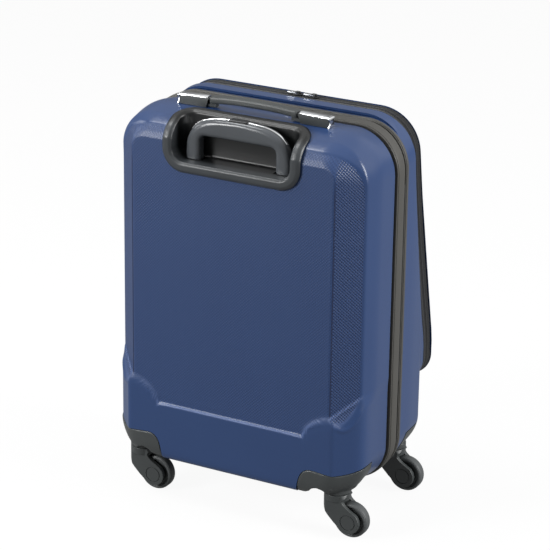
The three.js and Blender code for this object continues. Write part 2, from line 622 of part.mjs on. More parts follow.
// ---- carry handle: two fixed caps and a low grip that lifts a little between them
const capInner = HANDLE_END - HANDLE_CAP_LENGTH;
const handleFront = HANDLE_Y - HANDLE_DEPTH / 2;
const handleBack = HANDLE_Y + HANDLE_DEPTH / 2;
const tongueThickness = 3;
const capBodyTop = HANDLE_TOP - HANDLE_TRIM - GAP;
for (const [name, side] of sides) {
  const span = (a, b) => [side * a, side * b].sort((p, q) => p - q);
  const sideShape = polygon([
    [HANDLE_END - HANDLE_TRIM - GAP, HANDLE_SEAT_Z], [HANDLE_END - HANDLE_TRIM - GAP, capBodyTop],
    [capInner, capBodyTop + 1.5], [capInner + 4, HANDLE_SEAT_Z],
  ].map(([x, z]) => [side * x, z]));
  const slotTop = HANDLE_SEAT_Z + 1.5 + tongueThickness + HANDLE_LIFT + 0.6;
  const slot = block(...span(capInner - 2, HANDLE_END - 9), handleFront + 2, handleBack - 2,
    HANDLE_SEAT_Z + 1.2, Math.min(slotTop, capBodyTop - 1));
  const seat = cut(prismY(sideShape, handleFront + 0.6, handleBack - 0.6), backForm(GAP));
  add(`handle_cap_${name}`, cut(seat, slot), darkPlastic);
  const trimShape = polygon([
    [HANDLE_END, HANDLE_SEAT_Z], [HANDLE_END, HANDLE_TOP - 2], [HANDLE_END - 3, HANDLE_TOP],
    [capInner + 2, HANDLE_TOP + 1.5], [capInner + 2, HANDLE_TOP + 1.5 - HANDLE_TRIM],
    [HANDLE_END - HANDLE_TRIM, HANDLE_TOP - HANDLE_TRIM], [HANDLE_END - HANDLE_TRIM, HANDLE_SEAT_Z],
  ].map(([x, z]) => [side * x, z]));
  add(`handle_trim_${name}`, cut(prismY(trimShape, handleFront, handleBack), backForm(GAP)), chrome);
}

function carryGrip() {
  const half = capInner - 1;
  const bottom = HANDLE_SEAT_Z + 5.5;
  const top = HANDLE_TOP + 1;
  const shape = new THREE.Shape();
  shape.moveTo(-half, bottom);
  shape.quadraticCurveTo(0, bottom + HANDLE_ARCH * 2, half, bottom);
  shape.lineTo(half, top);
  shape.quadraticCurveTo(0, top + HANDLE_ARCH * 2, -half, top);
  const bar = prismY(shape, handleFront + 0.3, handleBack - 0.3, 8);
  const tongueBottom = HANDLE_SEAT_Z + 1.5;
  const tongues = sides.map(([, side]) => {
    const [x0, x1] = [side * (half - 8), side * (HANDLE_END - 14)].sort((a, b) => a - b);
    return block(x0, x1, handleFront + 3, handleBack - 3, tongueBottom, tongueBottom + tongueThickness);
  });
  const knees = sides.map(([, side]) => {
    const [x0, x1] = [side * (half - 8), side * half].sort((a, b) => a - b);
    return block(x0, x1, handleFront + 3, handleBack - 3, tongueBottom, bottom + 2);
  });
  return join(bar, ...tongues, ...knees);
}
add('carry_grip', carryGrip(), darkPlastic);

// ---- main closure: on each half a cloth zip tape ring with a moulded band over it
function ringBody(y0, y1, proud, depth) {
  const outer = { ...level(y0, -proud, -proud, -proud, RIM_TOP_RADIUS + proud, RIM_BOTTOM_RADIUS + proud) };
  const drawn = depth - proud;
  const inner = level(y0, drawn, drawn, drawn, RIM_TOP_RADIUS - drawn, RIM_BOTTOM_RADIUS - drawn);
  return cut(
    loft([ringAt(outer), ringAt({ ...outer, y: y1 })]),
    loft([ringAt({ ...inner, y: y0 - 1 }), ringAt({ ...inner, y: y1 + 1 })]));
}

// A band has a wide foot and a narrower crown, so its edges are stepped like a bead's.
function bandRing(y0, y1, proud, step) {
  return join(ringBody(y0, y1, proud - 1.2, proud - 1.2 + TAPE_RECESS - GAP),
    ringBody(y0 + step, y1 - step, proud, proud + TAPE_RECESS - GAP));
}
add('closure_band', bandRing(BAND_FRONT_Y, BAND_FRONT_Y + BAND_WIDTH, BAND_PROUD, 2.4), piping);
add('front_piping', bandRing(
  FRONT_RIM_Y + GAP, FRONT_PIPING_BACK_Y, FRONT_PIPING_PROUD, 1.4), piping);
const tapeRing = (y0, y1) => ringBody(y0, y1, -TAPE_RECESS, TAPE_THICKNESS);
add('back_zip_tape', tapeRing(PARTING_Y + TAPE_GAP / 2, BACK_RIM_Y - GAP), blackFabric);
add('front_zip_tape', tapeRing(FRONT_RIM_Y + GAP, PARTING_Y - TAPE_GAP / 2), blackFabric);

// The cloth hinge lies in the groove on the -X side and joins the two halves there.
add('hinge_tape', block(-HALF_WIDTH - 0.6, -HALF_WIDTH + TAPE_RECESS - 2 * GAP, FRONT_PIPING_BACK_Y + GAP,
  BAND_FRONT_Y - GAP, HINGE_BOTTOM_Z, HINGE_TOP_Z), piping);

// ---- lining in front of the trolley tubes
const liningY = TUBE_Y - OUTER_TUBE[1] / 2 - 4;
const innerBack = lofted(grown(backLevels, -WALL - 1.5 - GAP));
const aboveHousings = HOUSING_TOP + 6;
const liningBoard = block(
  -BEYOND, BEYOND, liningY - LINER_THICKNESS, liningY, 0, CUP_FLOOR_Z - CUP_WALL - GAP);
const liningNotches = sides.map(([, side]) => {
  const [x0, x1] = [side * (HOUSING_INNER - 2), side * BEYOND].sort((a, b) => a - b);
  return block(x0, x1, 0, BEYOND, 0, aboveHousings);
});
add('back_lining', cut(common(innerBack, liningBoard), ...liningNotches), liningFabric);

for (const [name, side] of sides) add(`rear_housing_${name}`, housing(side, backEnd), darkPlastic);

// ---------------------------------------------------------------- front half
// The pocket's zip leaves the shell along this line, further forward lower down.
function pocketEdgeY(z) {
  const t = THREE.MathUtils.clamp(
    (z - POCKET_EDGE_BEND_Z) / (POCKET_EDGE_HIGH_Z - POCKET_EDGE_BEND_Z), 0, 1);
  return THREE.MathUtils.lerp(POCKET_EDGE_LOW_Y, POCKET_EDGE_TOP_Y, t + POCKET_EDGE_BOW * t * (1 - t));
}

// The pocket's outline at a distance in front of that line, drawn in by an inset.
const EDGE_STEPS = 6;
function pocketRing(inset, forward, sillInset = inset) {
  const points = outline({
    half: POCKET_HALF - inset, top: POCKET_TOP - inset, bottom: POCKET_SILL_Z + sillInset,
    topRadius: Math.max(RIM_TOP_RADIUS - inset, 12), bottomRadius: Math.max(POCKET_CORNER_RADIUS - inset, 8),
  });
  return points.flatMap(([x, z], i) => {
    const [nextX, nextZ] = points[(i + 1) % points.length];
    const steps = Math.abs(nextZ - z) > 100 ? EDGE_STEPS : 1;
    return Array.from({ length: steps }, (_, step) => {
      const height = THREE.MathUtils.lerp(z, nextZ, step / steps);
      return [THREE.MathUtils.lerp(x, nextX, step / steps), pocketEdgeY(height) - forward, height];
    });
  });
}

// A band of the pocket's outline between two distances in front of the shell's edge.
function pocketBand(from, to, inset, thickness) {
  return cut(loft([pocketRing(inset, from), pocketRing(inset, to)]),
    loft([pocketRing(inset + thickness, from - 30), pocketRing(inset + thickness, to + 30)]));
}

// The front shell ends in a raised frame that the pocket's zip is sewn into.
const frontHollow = lofted(grown(frontLevels, -WALL));
function frontShell() {
  const opening = loft([pocketRing(-8, 0, 0), pocketRing(-8, 120, 0)]);
  const tray = cut(lofted(frontLevels), opening, frontHollow);
  const frame = cut(loft([pocketRing(0, -POCKET_FRAME), pocketRing(0, 0)]), frontHollow,
    loft([pocketRing(WALL, -POCKET_FRAME - 60), pocketRing(WALL, 60)]));
  const corners = sides.map(([, side]) => cornerRegion(side, frontEnd, GAP));
  return cut(join(tray, frame), ...corners);
}
add('front_shell', frontShell(), shellBlue);
for (const [name, side] of sides) add(`front_housing_${name}`, housing(side, frontEnd), darkPlastic);

// The pocket's liner is a board behind the pocket and the shelf under it.
const shelfZ = POCKET_SILL_Z - LINER_THICKNESS - GAP;
const linerProfile = polygon([
  [DIVIDER_Y, shelfZ], [DIVIDER_Y, BEYOND], [DIVIDER_Y - LINER_THICKNESS, BEYOND],
  [DIVIDER_Y - LINER_THICKNESS, shelfZ + LINER_THICKNESS], [-BEYOND, shelfZ + LINER_THICKNESS],
  [-BEYOND, shelfZ],
]);
add('pocket_liner', common(
  prismX(linerProfile, -BEYOND, BEYOND), lofted(grown(frontLevels, -WALL - GAP))), liningFabric);

// ---- pocket closure and door
const TAPE_INSET = 1;
const doorForward = 2 * POCKET_TAPE_WIDTH + POCKET_TAPE_GAP + 2 * GAP;
const sillSpan = POCKET_HALF - POCKET_CORNER_RADIUS - 12;
const sillCut = block(-sillSpan, sillSpan, -130, 0, POCKET_SILL_Z - 5, POCKET_SILL_Z + 8);
add('pocket_zip_tape', cut(
  pocketBand(GAP, GAP + POCKET_TAPE_WIDTH, TAPE_INSET, TAPE_THICKNESS), sillCut), blackFabric);
add('door_zip_tape', cut(
  pocketBand(doorForward - GAP - POCKET_TAPE_WIDTH, doorForward - GAP, TAPE_INSET, TAPE_THICKNESS), sillCut),
blackFabric);
const sillY = POCKET_EDGE_LOW_Y - GAP;
add('pocket_hinge_tape', block(-sillSpan + GAP, sillSpan - GAP, sillY - doorForward + 4 * GAP, sillY,
  POCKET_SILL_Z + TAPE_INSET, POCKET_SILL_Z + TAPE_INSET + TAPE_THICKNESS), blackFabric);

// A shallow moulded dish whose face is crowned.
function pocketDoor() {
  const skin = (offset) => [[0, 0], [2.5, 4], [8, 6.6], [20, 7.8], [45, 8.6], [75, DOOR_BULGE]].map(
    ([inset, rise], i) => pocketRing(offset + inset, doorForward + rise - (i === 0 ? offset / 3 : offset)));
  return cut(loft(skin(0)), loft(skin(DOOR_WALL)));
}
add('pocket_door', pocketDoor(), shellBlue);

// Cloth gussets inside the pocket's two sides, sewn inside the shell's frame and reaching to the door.
const gussetX = POCKET_HALF - WALL - GAP;
for (const [name, side] of sides) {
  const zs = Array.from({ length: EDGE_STEPS + 1 }, (_, i) => THREE.MathUtils.lerp(
    POCKET_SILL_Z + POCKET_CORNER_RADIUS, POCKET_TOP - RIM_TOP_RADIUS, i / EDGE_STEPS));
  const sewnIn = (z) => (z > POCKET_EDGE_BEND_Z + 90 ? 5 : -1);
  const strip = polygon([
    ...zs.map((z) => [pocketEdgeY(z) + sewnIn(z), z]),
    ...zs.toReversed().map((z) => [pocketEdgeY(z) - doorForward + 1, z]),
  ]);
  const [x0, x1] = [side * gussetX, side * (gussetX - TAPE_THICKNESS)].sort((a, b) => a - b);
  add(`pocket_gusset_${name}`, prismX(strip, x0, x1), blackFabric);
}

// ---------------------------------------------------------------- zip sliders and their pulls
// A slider lies along +X on its zip, with a bridge that its pull's crossbar turns in. The pull lies over it.
function sliderSolid(width, plate) {
  const plan = polygon([
    [-SLIDER_LENGTH / 2, -width * 0.36], [SLIDER_LENGTH / 2, -width / 2],
    [SLIDER_LENGTH / 2, width / 2], [-SLIDER_LENGTH / 2, width * 0.36],
  ]);
  const windowTop = plate + PULL_ROOM;
  const bridge = cut(
    block(-BRIDGE_HALF, BRIDGE_HALF, -1.5, 1.5, plate - 0.5, windowTop + 1),
    block(-BRIDGE_HALF + 1.8, BRIDGE_HALF - 1.8, -3, 3, plate, windowTop));
  return join(prismZ(plan, 0, plate), bridge);
}

function pullSolid(pivotHeight) {
  const tab = roundedBox(-PULL_THICKNESS / 2, PULL_LENGTH, -PULL_WIDTH / 2, PULL_WIDTH / 2, 0.6);
  const eye = new THREE.Path();
  eye.absarc(PULL_LENGTH - 3.2, 0, 1.7, 0, Math.PI * 2);
  tab.holes.push(eye);
  const window = roundedBox(PULL_THICKNESS / 2, BRIDGE_HALF + 1, -1.9, 1.9, 0.3);
  tab.holes.push(new THREE.Path(window.getPoints(2)));
  const half = PULL_THICKNESS / 2;
  return prismZ(tab, pivotHeight - half, pivotHeight + half, 3);
}

const pocketSlitY = POCKET_EDGE_TOP_Y - GAP - POCKET_TAPE_WIDTH - POCKET_TAPE_GAP / 2;
const pocketSlider = geometryOf(sliderSolid(SLIDER_WIDTH, SLIDER_PLATE));
const pocketPull = geometryOf(pullSolid(SLIDER_PLATE + PULL_ROOM / 2));
for (const [name, side] of sides) {
  const place = [SLIDERS_MEET_X + side * (SLIDER_PITCH / 2), pocketSlitY, POCKET_TOP - TAPE_INSET + GAP];
  add(`pocket_slider_${name}`, pocketSlider, blackPlastic).position.set(...place);
  add(`pocket_pull_${name}`, pocketPull, chrome).position.set(...place);
}

// The main sliders ride in the narrow groove, so their bodies are tall enough to lift the pulls clear.
const grooveBed = HALF_WIDTH - TAPE_RECESS + GAP;
const mainPlate = BAND_PROUD + TAPE_RECESS - GAP - 0.4;
const mainSlider = geometryOf(sliderSolid(2 * TAPE_VISIBLE + TAPE_GAP - 2 * GAP, mainPlate));
const mainPull = geometryOf(pullSolid(mainPlate + PULL_ROOM / 2));
for (const [name, up] of [['upper', 1], ['lower', -1]]) {
  const place = [grooveBed, PARTING_Y, MAIN_SLIDERS_Z + up * (SLIDER_PITCH / 2)];
  const slider = add(`main_slider_${name}`, mainSlider, blackPlastic);
  const pull = add(`main_pull_${name}`, mainPull, chrome);
  for (const mesh of [slider, pull]) {
    mesh.position.set(...place);
    mesh.rotation.y = Math.PI / 2;
  }
}

// ---------------------------------------------------------------- casters
function forkSolid() {
  const wheelX = -WHEEL_TRAIL;
  const half = FORK_WIDTH / 2;
  const top = COLLAR_Z - 0.4;
  const leg = new THREE.Shape();
  leg.moveTo(COLLAR_RADIUS - 0.4, top);
  leg.lineTo(COLLAR_RADIUS - 0.8, top - 12);
  leg.quadraticCurveTo(14, 30, wheelX + FORK_DISC * 0.72, WHEEL_RADIUS - FORK_DISC * 0.7);
  leg.absarc(wheelX, WHEEL_RADIUS, FORK_DISC, -0.77, -Math.PI * 1.28, true);
  leg.bezierCurveTo(wheelX + 3, 40, -7, 46, -COLLAR_RADIUS + 1.6, top - 4);
  leg.lineTo(-COLLAR_RADIUS + 0.4, top);
  const outsideCollar = cut(
    block(0, 30, -half - 1, half + 1, 0, top + 1), cylinderZ(COLLAR_RADIUS, 0, 0, -1, top + 2, 32));
  const legs = cut(prismY(leg, -half, half, 8), outsideCollar);
  const hood = solid(new THREE.CylinderGeometry(COLLAR_RADIUS, COLLAR_RADIUS - 0.8, 9, 32)
    .rotateX(Math.PI / 2).translate(0, 0, top - 4.5));
  const slotHalf = TYRE_WIDTH / 2 + 1;
  const slot = join(
    cylinderY(WHEEL_RADIUS + 1.2, wheelX, WHEEL_RADIUS, -slotHalf, slotHalf, 32),
    block(wheelX - 30, wheelX, -slotHalf, slotHalf, WHEEL_RADIUS - 30, 2 * WHEEL_RADIUS + 1));
  const axleBore = cylinderY(AXLE_RADIUS + 0.1, wheelX, WHEEL_RADIUS, -half + 2, half - 2, 16);
  const pin = cylinderZ(KINGPIN_RADIUS, 0, 0, top - 1, COLLAR_Z + KINGPIN_LENGTH, 16);
  return join(cut(join(legs, hood), slot, axleBore), pin);
}

function tyreSolid() {
  const half = TYRE_WIDTH / 2;
  const inner = WHEEL_RADIUS - TYRE_DEPTH;
  const profile = [
    [inner, -half + 1.2], [WHEEL_RADIUS - 2.4, -half], [WHEEL_RADIUS, -half + 3],
    [WHEEL_RADIUS, half - 3], [WHEEL_RADIUS - 2.4, half], [inner, half - 1.2], [inner, -half + 1.2],
  ].map(([radius, y]) => new THREE.Vector2(radius, y));
  return solid(new THREE.LatheGeometry(profile, 36)).translate([-WHEEL_TRAIL, 0, WHEEL_RADIUS]);
}

function hubSolid() {
  const half = TYRE_WIDTH / 2;
  const outer = WHEEL_RADIUS - TYRE_DEPTH - 0.1;
  const bore = cylinderY(outer - 3, 0, 0, -half, half, 24);
  const rim = cut(cylinderY(outer, 0, 0, -half + 1.4, half - 1.4, 28), bore);
  const web = cylinderY(outer - 2, 0, 0, -1.5, 1.5, 24);
  const bearing = cylinderY(6.5, 0, 0, -half + 0.4, half - 0.4, 16);
  return cut(join(rim, web, bearing), cylinderY(AXLE_RADIUS + 0.1, 0, 0, -half, half, 16))
    .translate([-WHEEL_TRAIL, 0, WHEEL_RADIUS]);
}

const forkGeometry = geometryOf(forkSolid());
const tyreGeometry = geometryOf(tyreSolid());
const hubGeometry = geometryOf(hubSolid());
const axleGeometry = geometryOf(cylinderY(
  AXLE_RADIUS, -WHEEL_TRAIL, WHEEL_RADIUS, -FORK_WIDTH / 2 + 2 + GAP, FORK_WIDTH / 2 - 2 - GAP, 16));
for (const [end, y] of [['rear', CASTER_BACK_Y], ['front', CASTER_FRONT_Y]]) {
  for (const [name, side] of sides) {
    const caster = new THREE.Group();
    caster.position.set(side * CASTER_X, y, 0);
    if (end === 'front' && side > 0) caster.rotation.z = Math.PI; // one caster stands turned about
    suitcase.add(caster);
    add(`fork_${end}_${name}`, forkGeometry, darkPlastic, caster);
    add(`tyre_${end}_${name}`, tyreGeometry, tyreRubber, caster);
    add(`hub_${end}_${name}`, hubGeometry, darkPlastic, caster);
    add(`axle_${end}_${name}`, axleGeometry, steel, caster);
  }
}

export default suitcase;
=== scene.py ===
# %% [markdown]
# # A hard shell cabin suitcase
# The suitcase stands with its back to us. The trolley recess is at the top, a zipped seam runs round the
# middle of its side, and a zipped pocket covers the far face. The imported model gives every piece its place.
# This script gives each visible piece its moulded, woven or plated form, and each surface its finish.

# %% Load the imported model
import math

import bmesh
import bpy
import numpy as np
from mathutils import Matrix, Vector


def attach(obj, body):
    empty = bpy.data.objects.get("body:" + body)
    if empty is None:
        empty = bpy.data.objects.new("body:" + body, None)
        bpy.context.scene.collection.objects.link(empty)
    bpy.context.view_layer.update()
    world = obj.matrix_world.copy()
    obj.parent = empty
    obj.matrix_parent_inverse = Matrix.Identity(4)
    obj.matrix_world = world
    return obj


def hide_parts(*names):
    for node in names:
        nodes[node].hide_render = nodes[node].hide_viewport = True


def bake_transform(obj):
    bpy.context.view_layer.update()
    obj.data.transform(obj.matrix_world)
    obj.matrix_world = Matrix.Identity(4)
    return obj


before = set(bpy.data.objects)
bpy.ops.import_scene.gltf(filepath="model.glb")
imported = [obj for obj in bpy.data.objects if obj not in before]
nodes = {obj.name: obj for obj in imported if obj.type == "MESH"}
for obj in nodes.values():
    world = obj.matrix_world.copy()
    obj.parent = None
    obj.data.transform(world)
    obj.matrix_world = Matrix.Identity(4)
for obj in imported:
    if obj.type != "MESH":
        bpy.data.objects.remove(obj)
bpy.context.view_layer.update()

scene = bpy.context.scene
print("nodes in the packed model:", len(nodes))

# %% [markdown]
# ## Camera
# The camera looks down on the case from behind its left corner with a long lens, so upright edges stay nearly
# parallel. It is placed by its turn, its tilt, a slight roll and its distance from a point inside the case.

# %% Camera
TARGET = Vector((0.00004, 0.0005, 0.27598))
TURN, TILT, ROLL, DISTANCE = 208.194, 69.487, 0.839, 2.96097
aim = (Matrix.Rotation(math.radians(TURN), 4, "Z") @ Matrix.Rotation(math.radians(TILT), 4, "X")
       @ Matrix.Rotation(math.radians(ROLL), 4, "Z"))
camera = bpy.data.objects.new("camera", bpy.data.cameras.new("camera"))
camera.data.lens, camera.data.sensor_width = 159.55, 36
camera.matrix_world = Matrix.Translation(TARGET + aim.to_3x3() @ Vector((0, 0, DISTANCE))) @ aim
scene.collection.objects.link(camera)
scene.camera = camera
print("camera at", [round(v, 3) for v in camera.matrix_world.translation])

# %% [markdown]
# ## Colours and shader nodes
# Colours are written as sRGB hex codes, and one function turns them to linear light. One more function adds
# a shader node with its settings and links. Every material below is made with these two.

# %% Colour and node helpers
def linear(code):
    """An sRGB hex code as linear red, green, blue and alpha."""
    parts = [int(code[i:i + 2], 16) / 255 for i in (1, 3, 5)]
    return (*[c / 12.92 if c <= 0.04045 else ((c + 0.055) / 1.055) ** 2.4 for c in parts], 1.0)


def node(tree, kind, inputs, **settings):
    """Adds a shader node. Each input takes a value, or a link from another node's socket."""
    made = tree.nodes.new(kind)
    for key, value in settings.items():
        setattr(made, key, value)
    for key, value in inputs.items():
        if isinstance(value, bpy.types.NodeSocket):
            tree.links.new(value, made.inputs[key])
        else:
            made.inputs[key].default_value = value
    return made


def emptied(owner):
    """Turns on the nodes of a world or a material, clears them and returns their tree."""
    owner.use_nodes = True
    owner.node_tree.nodes.clear()
    return owner.node_tree


print("mid grey in linear light:", round(linear("#808080")[0], 3))

# %% [markdown]
# ## Studio
# A pale floor and soft boxes. Seen by the camera, the floor and the world are white. In
# a reflection the room is white overhead and dims towards the horizon and the floor, which gives a satin
# shell its shape. The lamps are at a level at which a colour renders about as it is written.

# %% World and floor
WORLD_LIGHT = 0.3
scene.view_settings.view_transform = "Standard"
world = bpy.data.worlds.new("studio")
scene.world = world


def eye_and_gloss(tree):
    """1 for camera rays, and 1 for reflected or refracted rays."""
    path = node(tree, "ShaderNodeLightPath", {}).outputs
    gloss = node(tree, "ShaderNodeMath", {0: path["Is Glossy Ray"], 1: path["Is Transmission Ray"]},
                 operation="MAXIMUM").outputs[0]
    return path["Is Camera Ray"], gloss


tree = emptied(world)
eye, gloss = eye_and_gloss(tree)
way = node(tree, "ShaderNodeTexCoord", {}).outputs["Generated"]
height = node(tree, "ShaderNodeSeparateXYZ", {0: way}).outputs[2]
room = node(tree, "ShaderNodeMapRange", {0: height, 1: 0.2, 2: 0.9, 3: 0.27, 4: 1.0}).outputs[0]
level = node(tree, "ShaderNodeMix", {0: gloss, 2: WORLD_LIGHT, 3: room}).outputs[0]
level = node(tree, "ShaderNodeMix", {0: eye, 2: level, 3: 1.0}).outputs[0]
paper = node(tree, "ShaderNodeBackground", {"Color": linear("#ffffff"), "Strength": level})
node(tree, "ShaderNodeOutputWorld", {"Surface": paper.outputs[0]})

bm = bmesh.new()
bmesh.ops.create_grid(bm, x_segments=1, y_segments=1, size=9.0)
floor_mesh = bpy.data.meshes.new("floor")
bm.to_mesh(floor_mesh)
bm.free()
floor = bpy.data.objects.new("floor", floor_mesh)
scene.collection.objects.link(floor)
floor_paint = bpy.data.materials.new("white studio floor")
tree = emptied(floor_paint)
eye, gloss = eye_and_gloss(tree)
shade = node(tree, "ShaderNodeMix", {0: eye, 6: linear("#5c5c5c"), 7: linear("#f8f8f8")},
             data_type="RGBA").outputs[2]
matt = node(tree, "ShaderNodeBsdfDiffuse", {"Color": shade})
glow = node(tree, "ShaderNodeEmission", {"Color": linear("#ffffff"), "Strength": 1.0})
share = node(tree, "ShaderNodeMath", {0: gloss, 1: 0.3}, operation="MULTIPLY").outputs[0]
share = node(tree, "ShaderNodeMath", {0: eye, 1: 0.93, 2: share}, operation="MULTIPLY_ADD").outputs[0]
both = node(tree, "ShaderNodeMixShader", {0: share, 1: matt.outputs[0], 2: glow.outputs[0]})
node(tree, "ShaderNodeOutputMaterial", {"Surface": both.outputs[0]})
floor.data.materials.append(floor_paint)
print("stage:", world.name, "and", floor_paint.name)


# %% Lamps
def lamp(name, place, size, watts):
    """A square soft box that faces the middle of the case."""
    light = bpy.data.lights.new(name, "AREA")
    light.shape, light.size, light.energy = "SQUARE", size, watts
    made = bpy.data.objects.new(name, light)
    made.matrix_world = (Matrix.Translation(place)
                         @ (Vector(place) - TARGET).to_track_quat("Z", "Y").to_matrix().to_4x4())
    scene.collection.objects.link(made)
    return made


lamp("key lamp", (1.5, 2.1, 1.25), 0.9, 56)
lamp("left lamp", (2.6, 0.4, 1.2), 0.9, 12)
lamp("top lamp", (0.9, 0.45, 2.3), 0.7, 17)
lamp("side lamp", (-2.4, -0.3, 1.1), 1.2, 62)
lamp("front lamp", (-1.5, -2.3, 1.7), 2.4, 9)

# %% [markdown]
# ## Working in millimetres
# Luggage is drawn in millimetres. Each shape is made in millimetres in bmesh, cut and joined with Boolean
# modifiers, and scaled to metres once, when the piece is finished and attached to its body.

# %% Objects, Booleans and finishing
def mesh_object(bm, name="part"):
    """Stores a bmesh as an object, still in millimetres."""
    mesh = bpy.data.meshes.new(name)
    bm.to_mesh(mesh)
    bm.free()
    made = bpy.data.objects.new(name, mesh)
    scene.collection.objects.link(made)
    return made


def applied(made):
    """Applies the object's modifiers."""
    bpy.context.view_layer.update()
    graph = bpy.context.evaluated_depsgraph_get()
    mesh = bpy.data.meshes.new_from_object(made.evaluated_get(graph))
    made.modifiers.clear()
    old, made.data = made.data, mesh
    bpy.data.meshes.remove(old)
    return made


def discard(made):
    mesh = made.data
    bpy.data.objects.remove(made)
    bpy.data.meshes.remove(mesh)


def boolean(operation, made, *tools):
    """Cuts, joins or intersects an object with each tool in turn. The tools are used up."""
    for tool in tools:
        step = made.modifiers.new("boolean", "BOOLEAN")
        step.operation, step.solver, step.object = operation, "MANIFOLD", tool
    applied(made)
    for tool in tools:
        discard(tool)
    return made


def cut(made, *tools):
    return boolean("DIFFERENCE", made, *tools)


def join(made, *tools):
    return boolean("UNION", made, *tools)


def common(made, *tools):
    return boolean("INTERSECT", made, *tools)


def spots_of(made):
    """An object's points as rows of x, y and z."""
    spots = np.empty(len(made.data.vertices) * 3)
    made.data.vertices.foreach_get("co", spots)
    return spots.reshape(-1, 3)


def weigh(made, name, values):
    """Stores a value at each point, which a finish reads by its name."""
    made.data.attributes.new(name, "FLOAT", "POINT").data.foreach_set("value", values.astype(np.float32))


def finished(made, name, body, slot, material, replaces, sharp):
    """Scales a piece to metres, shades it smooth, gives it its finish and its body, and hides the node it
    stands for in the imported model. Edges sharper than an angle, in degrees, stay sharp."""
    made.name = made.data.name = name
    made.data.transform(Matrix.Scale(0.001, 4))
    made.data.materials.clear()
    made.data.materials.append(material)
    made.data.polygons.foreach_set("material_index", [0] * len(made.data.polygons))
    made.data.shade_smooth()
    made.data.set_sharp_from_angle(angle=math.radians(sharp))
    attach(made, body)
    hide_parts(replaces)
    print(f"{name}: {len(made.data.polygons)} faces")
    return made


# %% Flat outlines and the solids pulled from them
def prism(points, axis, low, high):
    """Pulls a flat outline along an axis. Its points are in the other two axes, in the order X, Y, Z."""
    across = [i for i in range(3) if i != "xyz".index(axis)]
    bm = bmesh.new()
    corners = []
    for a, b in points:
        corner = [low, low, low]
        corner[across[0]], corner[across[1]] = a, b
        corners.append(bm.verts.new(corner))
    bm.faces.new(corners)
    pulled = bmesh.ops.extrude_face_region(bm, geom=bm.faces[:])["geom"]
    shift = [0.0, 0.0, 0.0]
    shift["xyz".index(axis)] = high - low
    bmesh.ops.translate(bm, vec=shift, verts=[v for v in pulled if isinstance(v, bmesh.types.BMVert)])
    bmesh.ops.recalc_face_normals(bm, faces=bm.faces)
    return mesh_object(bm)


def box(x0, x1, y0, y1, z0, z1):
    bm = bmesh.new()
    bmesh.ops.create_cube(bm, size=1.0)
    bmesh.ops.scale(bm, vec=(x1 - x0, y1 - y0, z1 - z0), verts=bm.verts)
    bmesh.ops.translate(bm, vec=((x0 + x1) / 2, (y0 + y1) / 2, (z0 + z1) / 2), verts=bm.verts)
    return mesh_object(bm)


def bar(radius, axis, place, low, high, tip_radius=None, sides=64):
    """A round bar along Y or Z. Its axis runs through place, given as (x, z) or (x, y)."""
    bm = bmesh.new()
    bmesh.ops.create_cone(bm, cap_ends=True, segments=sides, radius1=radius,
                          radius2=radius if tip_radius is None else tip_radius, depth=high - low)
    middle = (low + high) / 2
    if axis == "y":
        bmesh.ops.rotate(bm, matrix=Matrix.Rotation(math.radians(-90), 3, "X"), verts=bm.verts)
        bmesh.ops.translate(bm, vec=(place[0], middle, place[1]), verts=bm.verts)
    else:
        bmesh.ops.translate(bm, vec=(place[0], place[1], middle), verts=bm.verts)
    return mesh_object(bm)


def turned(profile, axis, centre, sides=80):
    """Spins a closed outline of (radius, height) points a full turn about an upright or a Y axis."""
    bm = bmesh.new()
    points = [bm.verts.new((radius, 0.0, height)) for radius, height in profile]
    edges = [bm.edges.new(pair) for pair in zip(points, points[1:] + points[:1])]
    bmesh.ops.spin(bm, geom=points + edges, cent=(0, 0, 0), axis=(0, 0, 1), angle=math.tau, steps=sides,
                   use_merge=True)
    bmesh.ops.remove_doubles(bm, verts=bm.verts, dist=1e-4)
    if axis == "y":
        bmesh.ops.rotate(bm, matrix=Matrix.Rotation(math.radians(-90), 3, "X"), verts=bm.verts)
    bmesh.ops.translate(bm, vec=centre, verts=bm.verts)
    bmesh.ops.recalc_face_normals(bm, faces=bm.faces)
    return mesh_object(bm)


def round_box(x0, x1, y0, y1, radius, steps=12):
    """The points of a rectangle with round corners, anticlockwise."""
    points = []
    for cx, cy, start in ((x1 - radius, y0 + radius, -90), (x1 - radius, y1 - radius, 0),
                          (x0 + radius, y1 - radius, 90), (x0 + radius, y0 + radius, 180)):
        for i in range(steps + 1):
            angle = math.radians(start + 90 * i / steps)
            points.append((cx + radius * math.cos(angle), cy + radius * math.sin(angle)))
    return points


def curve(start, first, second, end, steps=12):
    """Points of a cubic curve after its start."""
    points = []
    for i in range(1, steps + 1):
        t = i / steps
        s = 1 - t
        points.append(tuple(s ** 3 * a + 3 * s * s * t * b + 3 * s * t * t * c + t ** 3 * d
                            for a, b, c, d in zip(start, first, second, end)))
    return points


def bent(start, middle, end, steps=8):
    """Points of a quadratic curve after its start."""
    first = tuple(a + (b - a) * 2 / 3 for a, b in zip(start, middle))
    second = tuple(a + (b - a) * 2 / 3 for a, b in zip(end, middle))
    return curve(start, first, second, end, steps)


def bevelled(made, width, segments=3, angle=35):
    """Rounds every edge that is sharper than an angle."""
    step = made.modifiers.new("bevel", "BEVEL")
    step.width, step.segments, step.limit_method = width, segments, "ANGLE"
    step.angle_limit, step.use_clamp_overlap, step.profile = math.radians(angle), True, 0.5
    return applied(made)


def softened(made, voxel, rounds):
    """Remeshes in voxels and smooths, which blends every edge and corner like a moulding's radii."""
    remesh = made.modifiers.new("voxels", "REMESH")
    remesh.mode, remesh.voxel_size = "VOXEL", voxel
    smooth = made.modifiers.new("smooth", "SMOOTH")
    smooth.factor, smooth.iterations = 0.5, rounds
    return applied(made)


